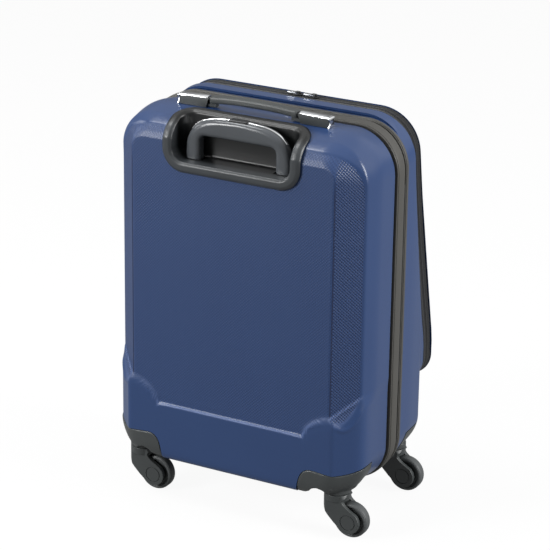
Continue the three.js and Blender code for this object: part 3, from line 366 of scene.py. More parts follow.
# %% [markdown]
# ## Form of the shells
# Both halves are ABS sheets drawn over a mould, so every section across the case is a rectangle with large
# round corners. A level holds one section: its depth, half width, top, bottom and corner radii. Six levels
# from the rim to the face describe a half, and a smooth curve through them gives the sections in between.

# %% Levels from rim to face
HALF_WIDTH, RIM_TOP, RIM_BOTTOM = 166.0, 488.0, 42.0
BACK_RIM_Y, STRIP_OUTER_Y, BACK_FACE_Y = 21.95, 84.5, 111.5
FRONT_RIM_Y, FRONT_FACE_Y = -15.65, -101.0
WALL, GAP, FAR = 3.0, 0.3, 700.0
FACE_ROWS = 28  # how far in from its edge the face has rows of its own, where creases are rounded


def level(y, inset, drop, rise, top_radius, bottom_radius):
    return [y, HALF_WIDTH - inset, RIM_TOP - drop, RIM_BOTTOM + rise, top_radius, bottom_radius]


back_levels = [
    level(BACK_RIM_Y, 0, 0, 0, 53, 54), level(53.2, -0.5, -5, 5, 54, 52),
    level(STRIP_OUTER_Y, 3.8, 1, 10.4, 47, 46), level(101, 20.9, 9.5, 10.8, 34, 40),
    level(108, 28.2, 17.5, 12.6, 23, 36), level(BACK_FACE_Y, 31.8, 25, 17, 15, 33)]
kick_levels = [each if i < 2 else [each[0] + 0.5 * i, each[1] + 6, *each[2:5], each[5] - 9]
               for i, each in enumerate(back_levels)]
front_levels = [
    level(FRONT_RIM_Y, 0, 0, 0, 53, 54), level(-40, 0.5, -5, 5, 54, 52), level(-76, 3.5, -3.5, 9, 52, 47),
    level(-90, 10.5, 3, 10.4, 48, 42), level(-97.5, 19.5, 10, 12.4, 42, 38),
    level(FRONT_FACE_Y, 29, 18, 17, 38, 34)]


def grown(levels, distance):
    """The same levels moved outwards, or inwards by a negative distance. The rim keeps its depth."""
    first, last = levels[0][0], levels[-1][0]
    way = 1 if last > first else -1
    moved = []
    for i, (y, half, top, bottom, top_radius, bottom_radius) in enumerate(levels):
        depth = way * distance * ((y - first) / (last - first)) ** 2 if i else -way * (distance < 0)
        moved.append([y + depth, half + distance, top + distance, bottom - distance,
                      top_radius + distance, bottom_radius + distance])
    return moved


def section(levels, i, t):
    """The section at share t between levels i and i + 1. The half width keeps its crease at level 2."""
    a, b = levels[i], levels[i + 1]
    before, after = levels[max(i - 1, 0)], levels[min(i + 2, len(levels) - 1)]
    span = b[0] - a[0]
    made = [a[0] + span * t]
    for k in range(1, 6):
        slope = (b[k] - a[k]) / span
        left = (a[k] - before[k]) / (a[0] - before[0]) if i else slope
        right = (after[k] - b[k]) / (after[0] - b[0]) if i + 2 < len(levels) else slope
        if k == 1 and i >= 2:
            left = right = slope
        if k == 1 and i == 1:
            right = slope
        m0 = 0 if left * slope <= 0 else 2 * left * slope / (left + slope)
        m1 = 0 if right * slope <= 0 else 2 * right * slope / (right + slope)
        made.append((2 * t ** 3 - 3 * t * t + 1) * a[k] + (t ** 3 - 2 * t * t + t) * span * m0
                    + (3 * t * t - 2 * t ** 3) * b[k] + (t ** 3 - t * t) * span * m1)
    return made


def outline(part, steps=20, side_rows=(), cross_rows=()):
    """A section's outline as (x, z) points, anticlockwise from its foot. Rows are points on its straights."""
    _, half, top, bottom, top_radius, bottom_radius = part
    corners = [(half - bottom_radius, bottom + bottom_radius, bottom_radius, -90),
               (half - top_radius, top - top_radius, top_radius, 0),
               (top_radius - half, top - top_radius, top_radius, 90),
               (bottom_radius - half, bottom + bottom_radius, bottom_radius, 180)]
    points = []
    for k, (cx, cz, radius, start) in enumerate(corners):
        for i in range(steps + 1):
            angle = math.radians(start + 90 * i / steps)
            points.append((cx + radius * math.cos(angle), cz + radius * math.sin(angle)))
        low, high = bottom + bottom_radius, top - top_radius
        if k == 0:
            points += [(half, low + (high - low) * share) for share in side_rows]
        if k == 1:
            points += [(half - top_radius - 2 * (half - top_radius) * share, top) for share in cross_rows]
        if k == 2:
            points += [(-half, low + (high - low) * share) for share in reversed(side_rows)]
        if k == 3:
            points += [(bottom_radius - half + 2 * (half - bottom_radius) * share, bottom)
                       for share in cross_rows]
    return points


def wrapped(rings, joined=False):
    """Wraps a grid round a row of closed rings of points. joined also joins the last ring to the first."""
    count, rows = len(rings[0]), len(rings)
    steps = rows if joined else rows - 1
    bm = bmesh.new()
    bmesh.ops.create_grid(bm, x_segments=count, y_segments=steps, size=0.5)
    for vertex in bm.verts:
        i = round((vertex.co.x + 0.5) * count) % count
        j = round((vertex.co.y + 0.5) * steps) % rows
        vertex.co = rings[j][i]
    bmesh.ops.remove_doubles(bm, verts=bm.verts, dist=1e-4)
    return bm


def capped(bm):
    """Closes the open ends and points every face outwards."""
    bmesh.ops.holes_fill(bm, edges=[e for e in bm.edges if e.is_boundary], sides=0)
    bmesh.ops.recalc_face_normals(bm, faces=bm.faces)
    return bm


def solid(rings):
    """A closed solid from a stack of rings."""
    return mesh_object(capped(wrapped(rings)))


def hoop(rings):
    """A closed solid from rings that run all the way round and back to the first."""
    bm = wrapped(rings, joined=True)
    bmesh.ops.recalc_face_normals(bm, faces=bm.faces)
    return mesh_object(bm)


def eased_rings(rings, rounds):
    """Rounds creases by moving each ring towards the mean of its neighbours."""
    for _ in range(rounds):
        rings[1:-1] = rings[:-2] / 4 + rings[1:-1] / 2 + rings[2:] / 4
    return rings


def form(levels, spacing=5, steps=20, rounds=0):
    """A closed solid of a half's outside, from its rim to its face. Rounds soften its creases."""
    rings = []
    for i, (a, b) in enumerate(zip(levels, levels[1:])):
        count = max(2, round(math.hypot(b[0] - a[0], b[1] - a[1]) / spacing))
        for t in np.linspace(0, 1, count, endpoint=i == len(levels) - 2).tolist():
            part = section(levels, i, t)
            rings.append([(x, part[0], z) for x, z in outline(part, steps)])
    y, half, top, bottom, top_radius, bottom_radius = levels[-1]
    for inset in np.arange(spacing, FACE_ROWS if rounds else 0, spacing).tolist():
        part = [y, half - inset, top - inset, bottom + inset, top_radius - inset, bottom_radius - inset]
        rings.append([(x, y, z) for x, z in outline(part, steps)])
    return solid(eased_rings(np.array(rings), rounds))


print("levels:", len(back_levels), "on the back half and", len(front_levels), "on the front half")

# %% [markdown]
# ## Back shell
# One moulded sheet. A grained panel and the two grained strips beside it lie inside a smooth border that
# stands 0.8 mm proud. Below them the kick area is about 2 mm prouder and 5 mm fuller at the sides. The same
# grid of points is laid on all three forms, and each point is blended between them by how far it lies inside
# a zone, so that the steps get soft edges.

# %% Zones of the back shell
PANEL_HEAD, HEAD_RADIUS, ZONE_HALF, STRIP_INNER = 478.0, 46.0, 162.8, 134.2
KICK_TOP, KICK_HALF = 128, 98.5
shoulder = (STRIP_INNER, 157.3)
shoulder_curve = curve(shoulder, (118.2, 154.8), (103.5, 145), (KICK_HALF, KICK_TOP))
kick_line = np.array([(0, KICK_TOP), (KICK_HALF, KICK_TOP), *reversed(shoulder_curve[:-1]), shoulder,
                      (ZONE_HALF, 181.3), (170, 187.3), (210, 187.3)], float)


def above_kick(x, z):
    """Signed distance in mm from the kick line, positive above it."""
    across = np.abs(x)
    least = np.full(x.shape, 1e9)
    for (x0, z0), (x1, z1) in zip(kick_line, kick_line[1:]):
        run, rise = x1 - x0, z1 - z0
        t = np.clip(((across - x0) * run + (z - z0) * rise) / (run * run + rise * rise), 0, 1)
        least = np.minimum(least, np.hypot(across - x0 - t * run, z - z0 - t * rise))
    return np.where(z > np.interp(across, kick_line[:, 0], kick_line[:, 1]), least, -least)


def inside_head(x, z):
    """How far a point lies inside the zone's sides and rounded head, in mm."""
    dx, dz = np.abs(x) - (ZONE_HALF - HEAD_RADIUS), z - (PANEL_HEAD - HEAD_RADIUS)
    corner = HEAD_RADIUS - np.hypot(np.maximum(dx, 0), np.maximum(dz, 0))
    straight = np.minimum(ZONE_HALF - np.abs(x), PANEL_HEAD - z)
    return np.where((dx > 0) & (dz > 0), corner, straight)


def ramp(low, high, value):
    return np.clip((value - low) / (high - low), 0, 1)


def eased(low, high, value):
    t = ramp(low, high, value)
    return t * t * (3 - 2 * t)


def ridge(distance, width):
    """1 on a line, falling softly to 0 on both sides."""
    return np.exp(-(distance / width) ** 2)


def strip_leaf(across):
    """How far the kick area's lower bead lies below its upper one: a leaf shape in each strip."""
    return 1.5 + 12 * np.sin(np.pi * ramp(STRIP_INNER, ZONE_HALF, across))


print("kick line:", len(kick_line), "points from its middle to one side")

# %% Back shell's outside
SIDE_ROWS = [s / 200 for s in (*np.linspace(4, 62, 62), *np.linspace(68, 192, 12))]
CROSS_ROWS = [s / 16 for s in range(1, 16)]
CORNER = 30
ROWS_BETWEEN = ((0.95, 9), (0.97, 14), (0.96, 18), (0.93, 10), (1, 8))
WALL_PLACES = [(i, t) for i, (last, count) in enumerate(ROWS_BETWEEN)
               for t in np.linspace(0, last, count).tolist()]
SIDE_WALL, BORDER_PROUD, GRAIN_FROM_Y = slice(6, 36), 0.8, 80


def ring_stack(levels):
    """Rings of points from the rim to the face, and then across the face towards its middle."""
    rings = []
    for i, t in WALL_PLACES:
        part = section(levels, i, t)
        rings.append([(x, part[0], z) for x, z in outline(part, CORNER, SIDE_ROWS, CROSS_ROWS)])
    edge = np.array(rings[-1])
    middle = outline([0, 84, 440, 137, 24, 24], CORNER, SIDE_ROWS, CROSS_ROWS)
    middle = np.array([(x, edge[0][1], z) for x, z in middle])
    shares = (*np.linspace(0.02, 0.7, 30), *np.linspace(0.71, 1, 34))
    return np.array(rings + [edge + (middle - edge) * s for s in shares])


panel, border, kick = (ring_stack(levels)
                       for levels in (back_levels, grown(back_levels, BORDER_PROUD), kick_levels))
kick = eased_rings(kick, 10)
kick[SIDE_WALL] = eased_rings(kick[SIDE_WALL], 45)
head = inside_head(panel[:, :, 0], panel[:, :, 2])
over = above_kick(panel[:, :, 0], panel[:, :, 2])
across = np.abs(panel[:, :, 0])
leaf = strip_leaf(across) + 9 * ramp(158, 167, across)
grained = (eased(0, 1.8, head) * eased(0, 1.2, over))[:, :, None]
outside = border + (panel - border) * grained
outside = outside + (kick - outside) * ramp(0, 1, -over / leaf)[:, :, None]
out_way = (border - panel) / np.linalg.norm(border - panel, axis=2)[:, :, None]
upper_bead = (0.9 + 0.5 * eased(98, 108, across)) * ridge(over + 0.7, 0.9)
lower_bead = ramp(0, 6, leaf - 2) * ridge(over + leaf, 1.4)
bead = (upper_bead + lower_bead) * (1 - eased(157, 164, across))
outside = eased_rings(outside, 2) + out_way * bead[:, :, None]
edge_ring = len(WALL_PLACES) - 1
# A fine groove beside each strip, which fades out below the head.
fade = grained[edge_ring] * (1 - eased(425, 455, panel[edge_ring, :, 2]))[:, None]
for offset, depth in ((-1, 0.4), (0, 0.8), (1, 0.4)):
    outside[edge_ring + offset] -= fade * np.array([0, depth, 0])
print("back shell's outside:", outside.shape[0], "rings of", outside.shape[1], "points")

# %% Openings in the shells
CUP_HALF, CUP_FLOOR, CUP_FRONT_Y, CUP_CORNER, CUP_WALL = 78.0, 441.0, 80.5, 15.0, 2.6
CASTER_X, HOUSING_TOP, HOUSING_INNER, HOUSING_REACH, HOUSING_GAP = 135.0, 86.0, 92.0, 34, 0.7
back_end = {"half": "back_half", "where": "rear", "way": 1, "levels": kick_levels, "y": 86.0}
front_end = {"half": "front_half", "where": "front", "way": -1, "levels": front_levels, "y": -64.3}


def cup_opening(grow):
    """The room of the trolley recess, rounded in its lower corners and in plan."""
    half, radius = CUP_HALF + grow, CUP_CORNER + grow
    face = prism(round_box(-half, half, CUP_FLOOR - grow, FAR, radius), "y", 0, FAR)
    return common(face, prism(round_box(-half, half, CUP_FRONT_Y - grow, FAR, radius), "z", 0, FAR))


def corner_region(side, end, grow):
    """The corner that a caster housing fills: level across the face, rising to a tip on the side."""
    inner, top = HOUSING_INNER - grow, HOUSING_TOP + grow
    face = [(inner, 22), (inner, 45)]
    face += curve(face[-1], (inner + 3, top - 16), (96 - grow, top), (113, top + 0.5), 16)
    face += [(138, top - 1.5)]
    face += curve(face[-1], (154, top - 2.5), (162, top), (185, top + 12), 16)
    face += [(185, 22)]
    way = end["way"]
    near = end["y"] - way * (HOUSING_REACH + grow)
    depth = [(near, 22), (near, 66), (near + way * 12, top + 14), (way * FAR, top + 14), (way * FAR, 22)]
    region = prism([(side * x, z) for x, z in face], "y", -FAR, FAR)
    return common(region, prism(depth, "x", -FAR, FAR))


def housing_rooms(end):
    """The two corners cut out of a shell, with a gap round the housings."""
    return corner_region(1, end, HOUSING_GAP), corner_region(-1, end, HOUSING_GAP)


print("recess:", 2 * CUP_HALF, "mm wide, casters", 2 * CASTER_X, "mm apart")

# %% [markdown]
# The shell's finish is satin ABS. The mould is smooth at the border and kick area and etched with fine
# diamonds on the panel, deeper on the strips. The attribute "grain" says where it is etched, and a second
# attribute where a pale highlight is painted along the proud edges of the kick area.

# %% Starts of a finish
def starts(name, values):
    """A new material with one Principled surface: itself, its tree, its shader and places on the piece."""
    material = bpy.data.materials.new(name)
    tree = emptied(material)
    shader = node(tree, "ShaderNodeBsdfPrincipled", values)
    node(tree, "ShaderNodeOutputMaterial", {"Surface": shader.outputs[0]})
    return material, tree, shader, node(tree, "ShaderNodeTexCoord", {}).outputs["Object"]


def wave(tree, along, rate):
    """A sine wave along one coordinate, at a rate in radians per metre."""
    angle = node(tree, "ShaderNodeMath", {0: along, 1: rate}, operation="MULTIPLY").outputs[0]
    return node(tree, "ShaderNodeMath", {0: angle}, operation="SINE").outputs[0]


def mottled(tree, where, shades, scale, detail=3.0):
    """A colour that wanders softly between two shades."""
    cloud = node(tree, "ShaderNodeTexNoise", {"Vector": where, "Scale": scale, "Detail": detail}).outputs[0]
    return node(tree, "ShaderNodeMix", {0: cloud, 6: linear(shades[0]), 7: linear(shades[1])},
                data_type="RGBA").outputs[2]


# %% Finish of the shells
def etched_abs(shades):
    """ABS sheet drawn over an etched mould. Fine grain scatters the sheen, so the panel looks duller."""
    material, tree, shader, where = starts("etched satin ABS", {"IOR": 1.53})
    axes = node(tree, "ShaderNodeSeparateXYZ", {0: where}).outputs
    grain = node(tree, "ShaderNodeAttribute", {}, attribute_name="grain").outputs["Fac"]
    away = node(tree, "ShaderNodeMath", {0: axes[0]}, operation="ABSOLUTE").outputs[0]
    on_strip = node(tree, "ShaderNodeMapRange", {0: away, 1: 0.1335, 2: 0.1355}).outputs[0]
    slope = node(tree, "ShaderNodeMath", {0: away, 1: axes[1]}, operation="SUBTRACT").outputs[0]
    down_strip = node(tree, "ShaderNodeMath", {0: slope, 1: 0.71}, operation="MULTIPLY").outputs[0]
    patterns = []
    # The real diamonds are about 1 mm. They are drawn at 2.7 mm, because finer ones don't show.
    for pitch, sideways in ((0.0038, axes[0]), (0.0039, down_strip)):
        first, second = (wave(tree, along, math.tau / pitch) for along in (sideways, axes[2]))
        patterns.append(node(tree, "ShaderNodeMath", {0: first, 1: second}, operation="MULTIPLY").outputs[0])
    fine = node(tree, "ShaderNodeMath", {0: patterns[0], 1: 0.4}, operation="MULTIPLY").outputs[0]
    etched = node(tree, "ShaderNodeMix", {0: on_strip, 2: fine, 3: patterns[1]}).outputs[0]
    height = node(tree, "ShaderNodeMath", {0: etched, 1: grain}, operation="MULTIPLY").outputs[0]
    dust = node(tree, "ShaderNodeTexNoise", {"Vector": where, "Scale": 700.0, "Detail": 2.0}).outputs[0]
    height = node(tree, "ShaderNodeMath", {0: dust, 1: 0.25, 2: height}, operation="MULTIPLY_ADD").outputs[0]
    bump = node(tree, "ShaderNodeBump", {"Height": height, "Distance": 0.0003, "Strength": 0.8})
    tree.links.new(bump.outputs[0], shader.inputs["Normal"])
    # Painted highlight: a pale colour is mixed in along the kick area's proud edges in place of light caught
    # there, and those edges are a little rougher.
    painted_highlight = node(tree, "ShaderNodeAttribute", {}, attribute_name="painted_highlight").outputs["Fac"]
    rough = node(tree, "ShaderNodeMapRange", {0: grain, 3: 0.29, 4: 0.42}).outputs[0]
    duller = node(tree, "ShaderNodeMath", {0: painted_highlight, 1: 0.22, 2: rough}, operation="MULTIPLY_ADD").outputs[0]
    tree.links.new(duller, shader.inputs["Roughness"])
    # The pale blue #7288bb is the painted highlight's colour, mixed in by about a third of the attribute.
    share = node(tree, "ShaderNodeMath", {0: painted_highlight, 1: 0.34}, operation="MULTIPLY").outputs[0]
    highlighted_colour = node(tree, "ShaderNodeMix", {0: share, 6: mottled(tree, where, shades, 9.0), 7: linear("#7288bb")},
                data_type="RGBA").outputs[2]
    # Pits of the etch and the fine groove beside each strip stay in shadow.
    pits = node(tree, "ShaderNodeMath", {0: etched, 1: -1.3}, operation="MULTIPLY", use_clamp=True).outputs[0]
    groove = node(tree, "ShaderNodeMath", {0: away, 1: 0.1344, 2: 0.0009}, operation="COMPARE").outputs[0]
    high = node(tree, "ShaderNodeMapRange", {0: axes[2], 1: 0.43, 2: 0.455, 3: 0.8, 4: 0.0}).outputs[0]
    line = node(tree, "ShaderNodeMath", {0: groove, 1: high}, operation="MULTIPLY").outputs[0]
    dark = node(tree, "ShaderNodeMath", {0: pits, 1: line}, operation="MAXIMUM").outputs[0]
    dark = node(tree, "ShaderNodeMath", {0: dark, 1: grain}, operation="MULTIPLY").outputs[0]
    base = node(tree, "ShaderNodeMix", {0: dark, 6: highlighted_colour, 7: linear("#121f42")}, data_type="RGBA").outputs[2]
    tree.links.new(base, shader.inputs["Base Color"])
    return material


shell_abs = etched_abs(("#28406c", "#2c4572"))
print("finish:", shell_abs.name)

# %% Back shell
back = solid(outside)
cut(back, form(grown(back_levels, -WALL)), cup_opening(CUP_WALL + GAP), *housing_rooms(back_end))
spots = spots_of(back)
across, over = np.abs(spots[:, 0]), above_kick(spots[:, 0], spots[:, 2])
at_back = spots[:, 1] > GRAIN_FROM_Y
foot = strip_leaf(across)
# A painted highlight along the kick line's upper bead and the strips' lower bead, as a share from 0 to 1.
highlight_share = ridge(over + 0.8, 1.3) + 0.6 * ramp(0, 6, foot - 2) * ridge(over + foot, 1.6)
highlight_share = highlight_share * (1 - eased(158, 165, across)) * at_back
# The strip's grain and a little painted highlight run on down to the lower bead.
strip_foot = foot * ramp(134.5, 137, across) * (1 - ramp(160.5, 163, across))
highlight_share += 0.3 * ramp(0, 1.5, -over) * ramp(0, 2, over + strip_foot) * at_back
weigh(back, "painted_highlight", highlight_share.clip(0, 1))
etch = eased(1.0, 2.6, inside_head(spots[:, 0], spots[:, 2])) * eased(0.6, 2.0, over + strip_foot)
weigh(back, "grain", etch * at_back)
finished(back, "back_moulding", "back_half", "shell", shell_abs, "back_shell", sharp=40)

# %% [markdown]
# ## Front shell
# The front half is a deep tray. Its opening follows the pocket's zip, which leaves the shell further forward
# the lower it is, and a smooth raised frame runs round that opening. The tray and the frame are joined.

# %% The pocket's line and rings
POCKET_TOP, POCKET_SILL, POCKET_HALF = 493.0, 136.0, 162.0
ZIP_FOOT_Y, ZIP_LEAN, LEAN_FROM, LEAN_HEIGHT = -86.4, 52.4, 193, 250
EDGE_ROWS = [s / 16 for s in range(1, 16)]


def pocket_edge_y(z):
    """Where the pocket's zip leaves the shell at a height."""
    t = min(max((z - LEAN_FROM) / LEAN_HEIGHT, 0), 1)
    return ZIP_FOOT_Y + ZIP_LEAN * (t + 0.25 * t * (1 - t))


def pocket_ring(inset, forward, sill_inset=None, steps=16):
    """The pocket's outline, drawn in by an inset, at a distance in front of the zip's line."""
    sill_inset = inset if sill_inset is None else sill_inset
    part = [0, POCKET_HALF - inset, POCKET_TOP - inset, POCKET_SILL + sill_inset,
            max(53 - inset, 12), max(32 - inset, 8)]
    return [(x, pocket_edge_y(z) - forward, z) for x, z in outline(part, steps, EDGE_ROWS, EDGE_ROWS)]


print("pocket's zip: y", pocket_edge_y(POCKET_SILL), "at the sill,", pocket_edge_y(POCKET_TOP), "at the top")


# %% Front shell
def front_moulding():
    tray = cut(form(front_levels), solid([pocket_ring(-8, 0, 0), pocket_ring(-8, 120, 0)]))
    lip = solid([pocket_ring(inset, forward)
                 for inset, forward in ((0, -16), (0, -0.8), (0.5, -0.2), (1.3, 0))])
    raised_frame = cut(lip, solid([pocket_ring(WALL, -76), pocket_ring(WALL, 60)]))
    return cut(join(tray, raised_frame), form(grown(front_levels, -WALL)), *housing_rooms(front_end))


finished(front_moulding(), "front_moulding", "front_half", "shell", shell_abs, "front_shell", sharp=35)

# %% [markdown]
# ## Pocket door
# A shallow dish with a crowned face. Its rings are drawn in step by step from the rim to the middle, and a
# second, smaller stack of rings hollows it out.

# %% Pocket door
DOOR_FORWARD = 23.2
DOOR_RISE = ([0, 1, 2.5, 5, 8, 13, 20, 31, 45, 60, 75], [0, 2.2, 4, 5.6, 6.6, 7.3, 7.8, 8.3, 8.6, 8.85, 9])


def door_solid(offset):
    insets = np.concatenate([np.linspace(0, 8, 12), np.linspace(9, 30, 14), np.linspace(34, 75, 14),
                             np.linspace(84, 138, 7)])
    rises = np.interp(insets, *DOOR_RISE)
    return solid([pocket_ring(offset + inset, DOOR_FORWARD + rise - (offset if i else offset / 3))
                  for i, (inset, rise) in enumerate(zip(insets.tolist(), rises.tolist()))])


door = cut(door_solid(0), door_solid(WALL))
finished(door, "door_moulding", "pocket_door", "shell", shell_abs, "pocket_door", sharp=35)

# %% [markdown]
# ## Plastics
# Injection moulded parts have a fine spark-eroded grain and a satin sheen. Their grey wanders very slightly.

# %% Moulded plastics
def moulded(name, shades, roughness, grit_mm, depth, deep=None):
    """Injection moulded plastic: satin, with a fine even grain. Deep is a darker colour painted down in a
    bowl as its shade.
    """
    material, tree, shader, where = starts(name, {"Roughness": roughness})
    scale = 1000 / grit_mm
    grit = node(tree, "ShaderNodeTexNoise", {"Vector": where, "Scale": scale, "Detail": 1.0}).outputs[0]
    bump = node(tree, "ShaderNodeBump", {"Height": grit, "Distance": depth, "Strength": 0.6})
    tree.links.new(bump.outputs[0], shader.inputs["Normal"])
    colour = mottled(tree, where, shades, 25.0)
    # Painted shade: where the attribute "inside" is 1, the colour is mixed towards the darker deep colour,
    # down in a bowl.
    if deep:
        inside = node(tree, "ShaderNodeAttribute", {}, attribute_name="inside").outputs["Fac"]
        colour = node(tree, "ShaderNodeMix", {0: inside, 6: colour, 7: linear(deep)},
                      data_type="RGBA").outputs[2]
    tree.links.new(colour, shader.inputs["Base Color"])
    return material


# 0d0f10 is the shade painted down in the trolley recess.
bezel_abs = moulded("satin grey ABS", ("#34373a", "#3e4245"), 0.36, 1.1, 0.00005, deep="#0d0f10")
grip_abs = moulded("smooth grey ABS", ("#484b4f", "#515559"), 0.25, 1.4, 0.00003)
caster_nylon = moulded("dark grey nylon", ("#3a3d3e", "#444848"), 0.40, 1.0, 0.00005)
black_acetal = moulded("black acetal", ("#101214", "#17191b"), 0.32, 1.2, 0.00003)
piping_vinyl = moulded("grey extruded vinyl", ("#42413e", "#4c4b47"), 0.5, 0.9, 0.00007)
tyre_polyurethane = moulded("grey polyurethane", ("#494c4d", "#545758"), 0.5, 0.8, 0.00004)
print("materials in the file:", len(bpy.data.materials))

# %% [markdown]
# ## Trolley recess
# A bowl open to the back and the top, with a rounded lip that overlaps the shell. It is one ABS moulding, so
# every edge has a radius: the Boolean shape is remeshed in 1 mm voxels and smoothed.

# %% Trolley recess
TUBE_X, TUBE_Y = 56.5, 91.5


def above_shell():
    """The shell's outside with a little clearance, for what lies on it."""
    return form(grown(back_levels, 1.1))


def tube_rooms(half_x, half_y, low, high):
    """The room of both tubes, as two boxes."""
    return [box(side * TUBE_X - half_x, side * TUBE_X + half_x, TUBE_Y - half_y, TUBE_Y + half_y, low, high)
            for side in (1, -1)]


def recess():
    bowl = cut(common(cup_opening(CUP_WALL), form(grown(back_levels, 3.5))), cup_opening(0))
    lip = [cut(common(form(grown(back_levels, proud)), cup_opening(outer)), above_shell(), cup_opening(inner))
           for proud, outer, inner in ((2.6, 13.5, 0), (4.2, 12, 0.8), (5.6, 9.6, 2.6))]
    return cut(softened(join(bowl, *lip), 1.0, 9), *tube_rooms(9.2, 7.2, 430, 447))


bowl = recess()
# Shade painted down in the recess: 1 towards the back of the bowl, falling to 0 out at its lip.
weigh(bowl, "inside", 1 - ramp(99, 107, spots_of(bowl)[:, 1]))
finished(bowl, "recess_moulding", "back_half", "bezel", bezel_abs, "handle_cup", sharp=50)

# %% [markdown]
# ## Trolley
# Three nested aluminium tubes slide in each other on each side. The grip is an arched ABS loop with a round
# section, built from rings between its two faces. A chromed band runs over its crown in a shallow groove, and
# the black release button interrupts it in the middle.

# %% Metals
def metal(name, colour, roughness, streak):
    """Metal. A streak below 1 stretches its fine scratches along Z, as drawing or brushing does."""
    material, tree, shader, where = starts(name, {"Base Color": linear(colour), "Metallic": 1.0})
    drawn = node(tree, "ShaderNodeMapping", {"Vector": where, "Scale": (1, 1, streak)}).outputs[0]
    lines = node(tree, "ShaderNodeTexNoise", {"Vector": drawn, "Scale": 1500.0, "Detail": 2.0}).outputs[0]
    rough = node(tree, "ShaderNodeMapRange", {0: lines, 3: roughness * 0.8, 4: roughness * 1.25}).outputs[0]
    tree.links.new(rough, shader.inputs["Roughness"])
    bump = node(tree, "ShaderNodeBump", {"Height": lines, "Distance": 0.00001, "Strength": 0.4})
    tree.links.new(bump.outputs[0], shader.inputs["Normal"])
    return material


chrome = metal("chromed zinc", "#e4e6e8", 0.1, 1.0)
anodised = metal("drawn anodised aluminium", "#b8bbbf", 0.3, 0.02)
axle_steel = metal("zinc plated steel", "#9a9ea2", 0.3, 1.0)
print("metals:", chrome.name, "/", anodised.name, "/", axle_steel.name)

# %% Tubes
SIDES = ((1, "left"), (-1, "right"))
TUBE_WALL = 1.3
for stage, body, width, depth, low, high, radius in (
        ("outer", "back_half", 21, 17, 70.3, 436.4, 5), ("middle", "middle_tubes", 17.2, 13.2, 75, 438.4, 4),
        ("inner", "trolley", 12, 8.4, 80, 456, 3)):
    for side, hand in SIDES:
        x0, x1 = side * TUBE_X - width / 2, side * TUBE_X + width / 2
        y0, y1 = TUBE_Y - depth / 2, TUBE_Y + depth / 2
        drawn = prism(round_box(x0, x1, y0, y1, radius * 0.6), "z", low, high)
        bore = prism(round_box(x0 + TUBE_WALL, x1 - TUBE_WALL, y0 + TUBE_WALL, y1 - TUBE_WALL, radius * 0.4),
                     "z", low - 1, high + 1)
        finished(cut(drawn, bore), f"{stage}_tube_{hand}_drawn", body, "tube", anodised,
                 f"{stage}_tube_{hand}", sharp=40)

# %% Trolley grip
GRIP_TOP, GRIP_HALF, LEG_BOTTOM, GRIP_ROUND, GRIP_HALF_DEPTH = 494.5, 69.0, 441.8, 6.2, 8.25


def grip_outline(inset):
    """The grip's outline seen from behind: an arched crown, round shoulders and two legs."""
    half, top, radius = GRIP_HALF - inset, GRIP_TOP - inset, 38 - inset
    inner, under, corner = 50 + inset, GRIP_TOP - 24 + inset, 9 + inset
    points = [(half, LEG_BOTTOM), (half, top - radius - 4)]
    points += curve(points[-1], (half, top - 12), (half - 22, top - 2), (half - 48, top - 1), 20)
    points += bent(points[-1], (0, top + 1), (48 - half, top - 1), 10)
    points += curve(points[-1], (22 - half, top - 2), (-half, top - 12), (-half, top - radius - 4), 20)
    points += [(-half, LEG_BOTTOM), (-inner, LEG_BOTTOM), (-inner, under - corner)]
    points += bent(points[-1], (-inner, under), (corner - inner, under), 8)
    points += [(inner - corner, under)]
    points += bent(points[-1], (inner, under), (inner, under - corner), 8)
    return points + [(inner, LEG_BOTTOM)]


def crown_band(clear):
    """The chromed band's room, wrapped over the crown on the grip's middle plane."""
    half = 2.2 + clear
    band = common(prism(grip_outline(-0.9 - clear), "y", TUBE_Y - half, TUBE_Y + half),
                  box(-80, 80, 0, FAR, GRIP_TOP - 18 - clear, FAR))
    return cut(band, prism(grip_outline(1.2 + clear), "y", 0, FAR), box(-50, 50, 0, FAR, 0, GRIP_TOP - 12))


def button_room(clear, top):
    return box(-12 - clear, 12 + clear, TUBE_Y - 5 - clear, TUBE_Y + 5 + clear, GRIP_TOP - 9 - clear, top)


def round_loop():
    """The grip's loop with a round section, as rings from its one face to the other."""
    rings = []
    for side in (1, -1):
        for turn in np.linspace(0, math.pi / 2, 9).tolist()[::side]:
            y = TUBE_Y + side * (GRIP_HALF_DEPTH - GRIP_ROUND + GRIP_ROUND * math.cos(turn))
            rings.append([(x, y, z) for x, z in grip_outline(GRIP_ROUND * (1 - math.sin(turn)))])
    return solid(rings)


grip = cut(round_loop(), button_room(GAP, FAR), crown_band(GAP), *tube_rooms(6.15, 4.35, 438, 456.3))
finished(grip, "grip_moulding", "trolley", "bezel", grip_abs, "trolley_grip", sharp=35)
for side, hand in SIDES:
    own = common(crown_band(0), box(*sorted((0, side * FAR)), 0, FAR, 0, FAR))
    trim = bevelled(cut(own, button_room(GAP, FAR)), 0.5, 3, 50)
    finished(trim, f"grip_trim_{hand}_plated", "trolley", "chrome", chrome, f"grip_trim_{hand}", sharp=35)
button = prism(round_box(-12, 12, TUBE_Y - 5, TUBE_Y + 5, 1.6, 6), "z", GRIP_TOP - 6, GRIP_TOP + 1.4)
finished(bevelled(button, 0.9, 4, 50), "button_moulding", "release_button", "black_plastic", black_acetal,
         "release_button", sharp=35)
foot = prism(round_box(-73, 73, TUBE_Y - 11.5, TUBE_Y + 11.5, 4), "z", 57.5, 70)
cut(foot, *tube_rooms(6.6, 3, 60.5, 71))
finished(bevelled(foot, 0.8, 3, 50), "foot_moulding", "back_half", "dark_plastic", caster_nylon, "tube_foot",
         sharp=35)

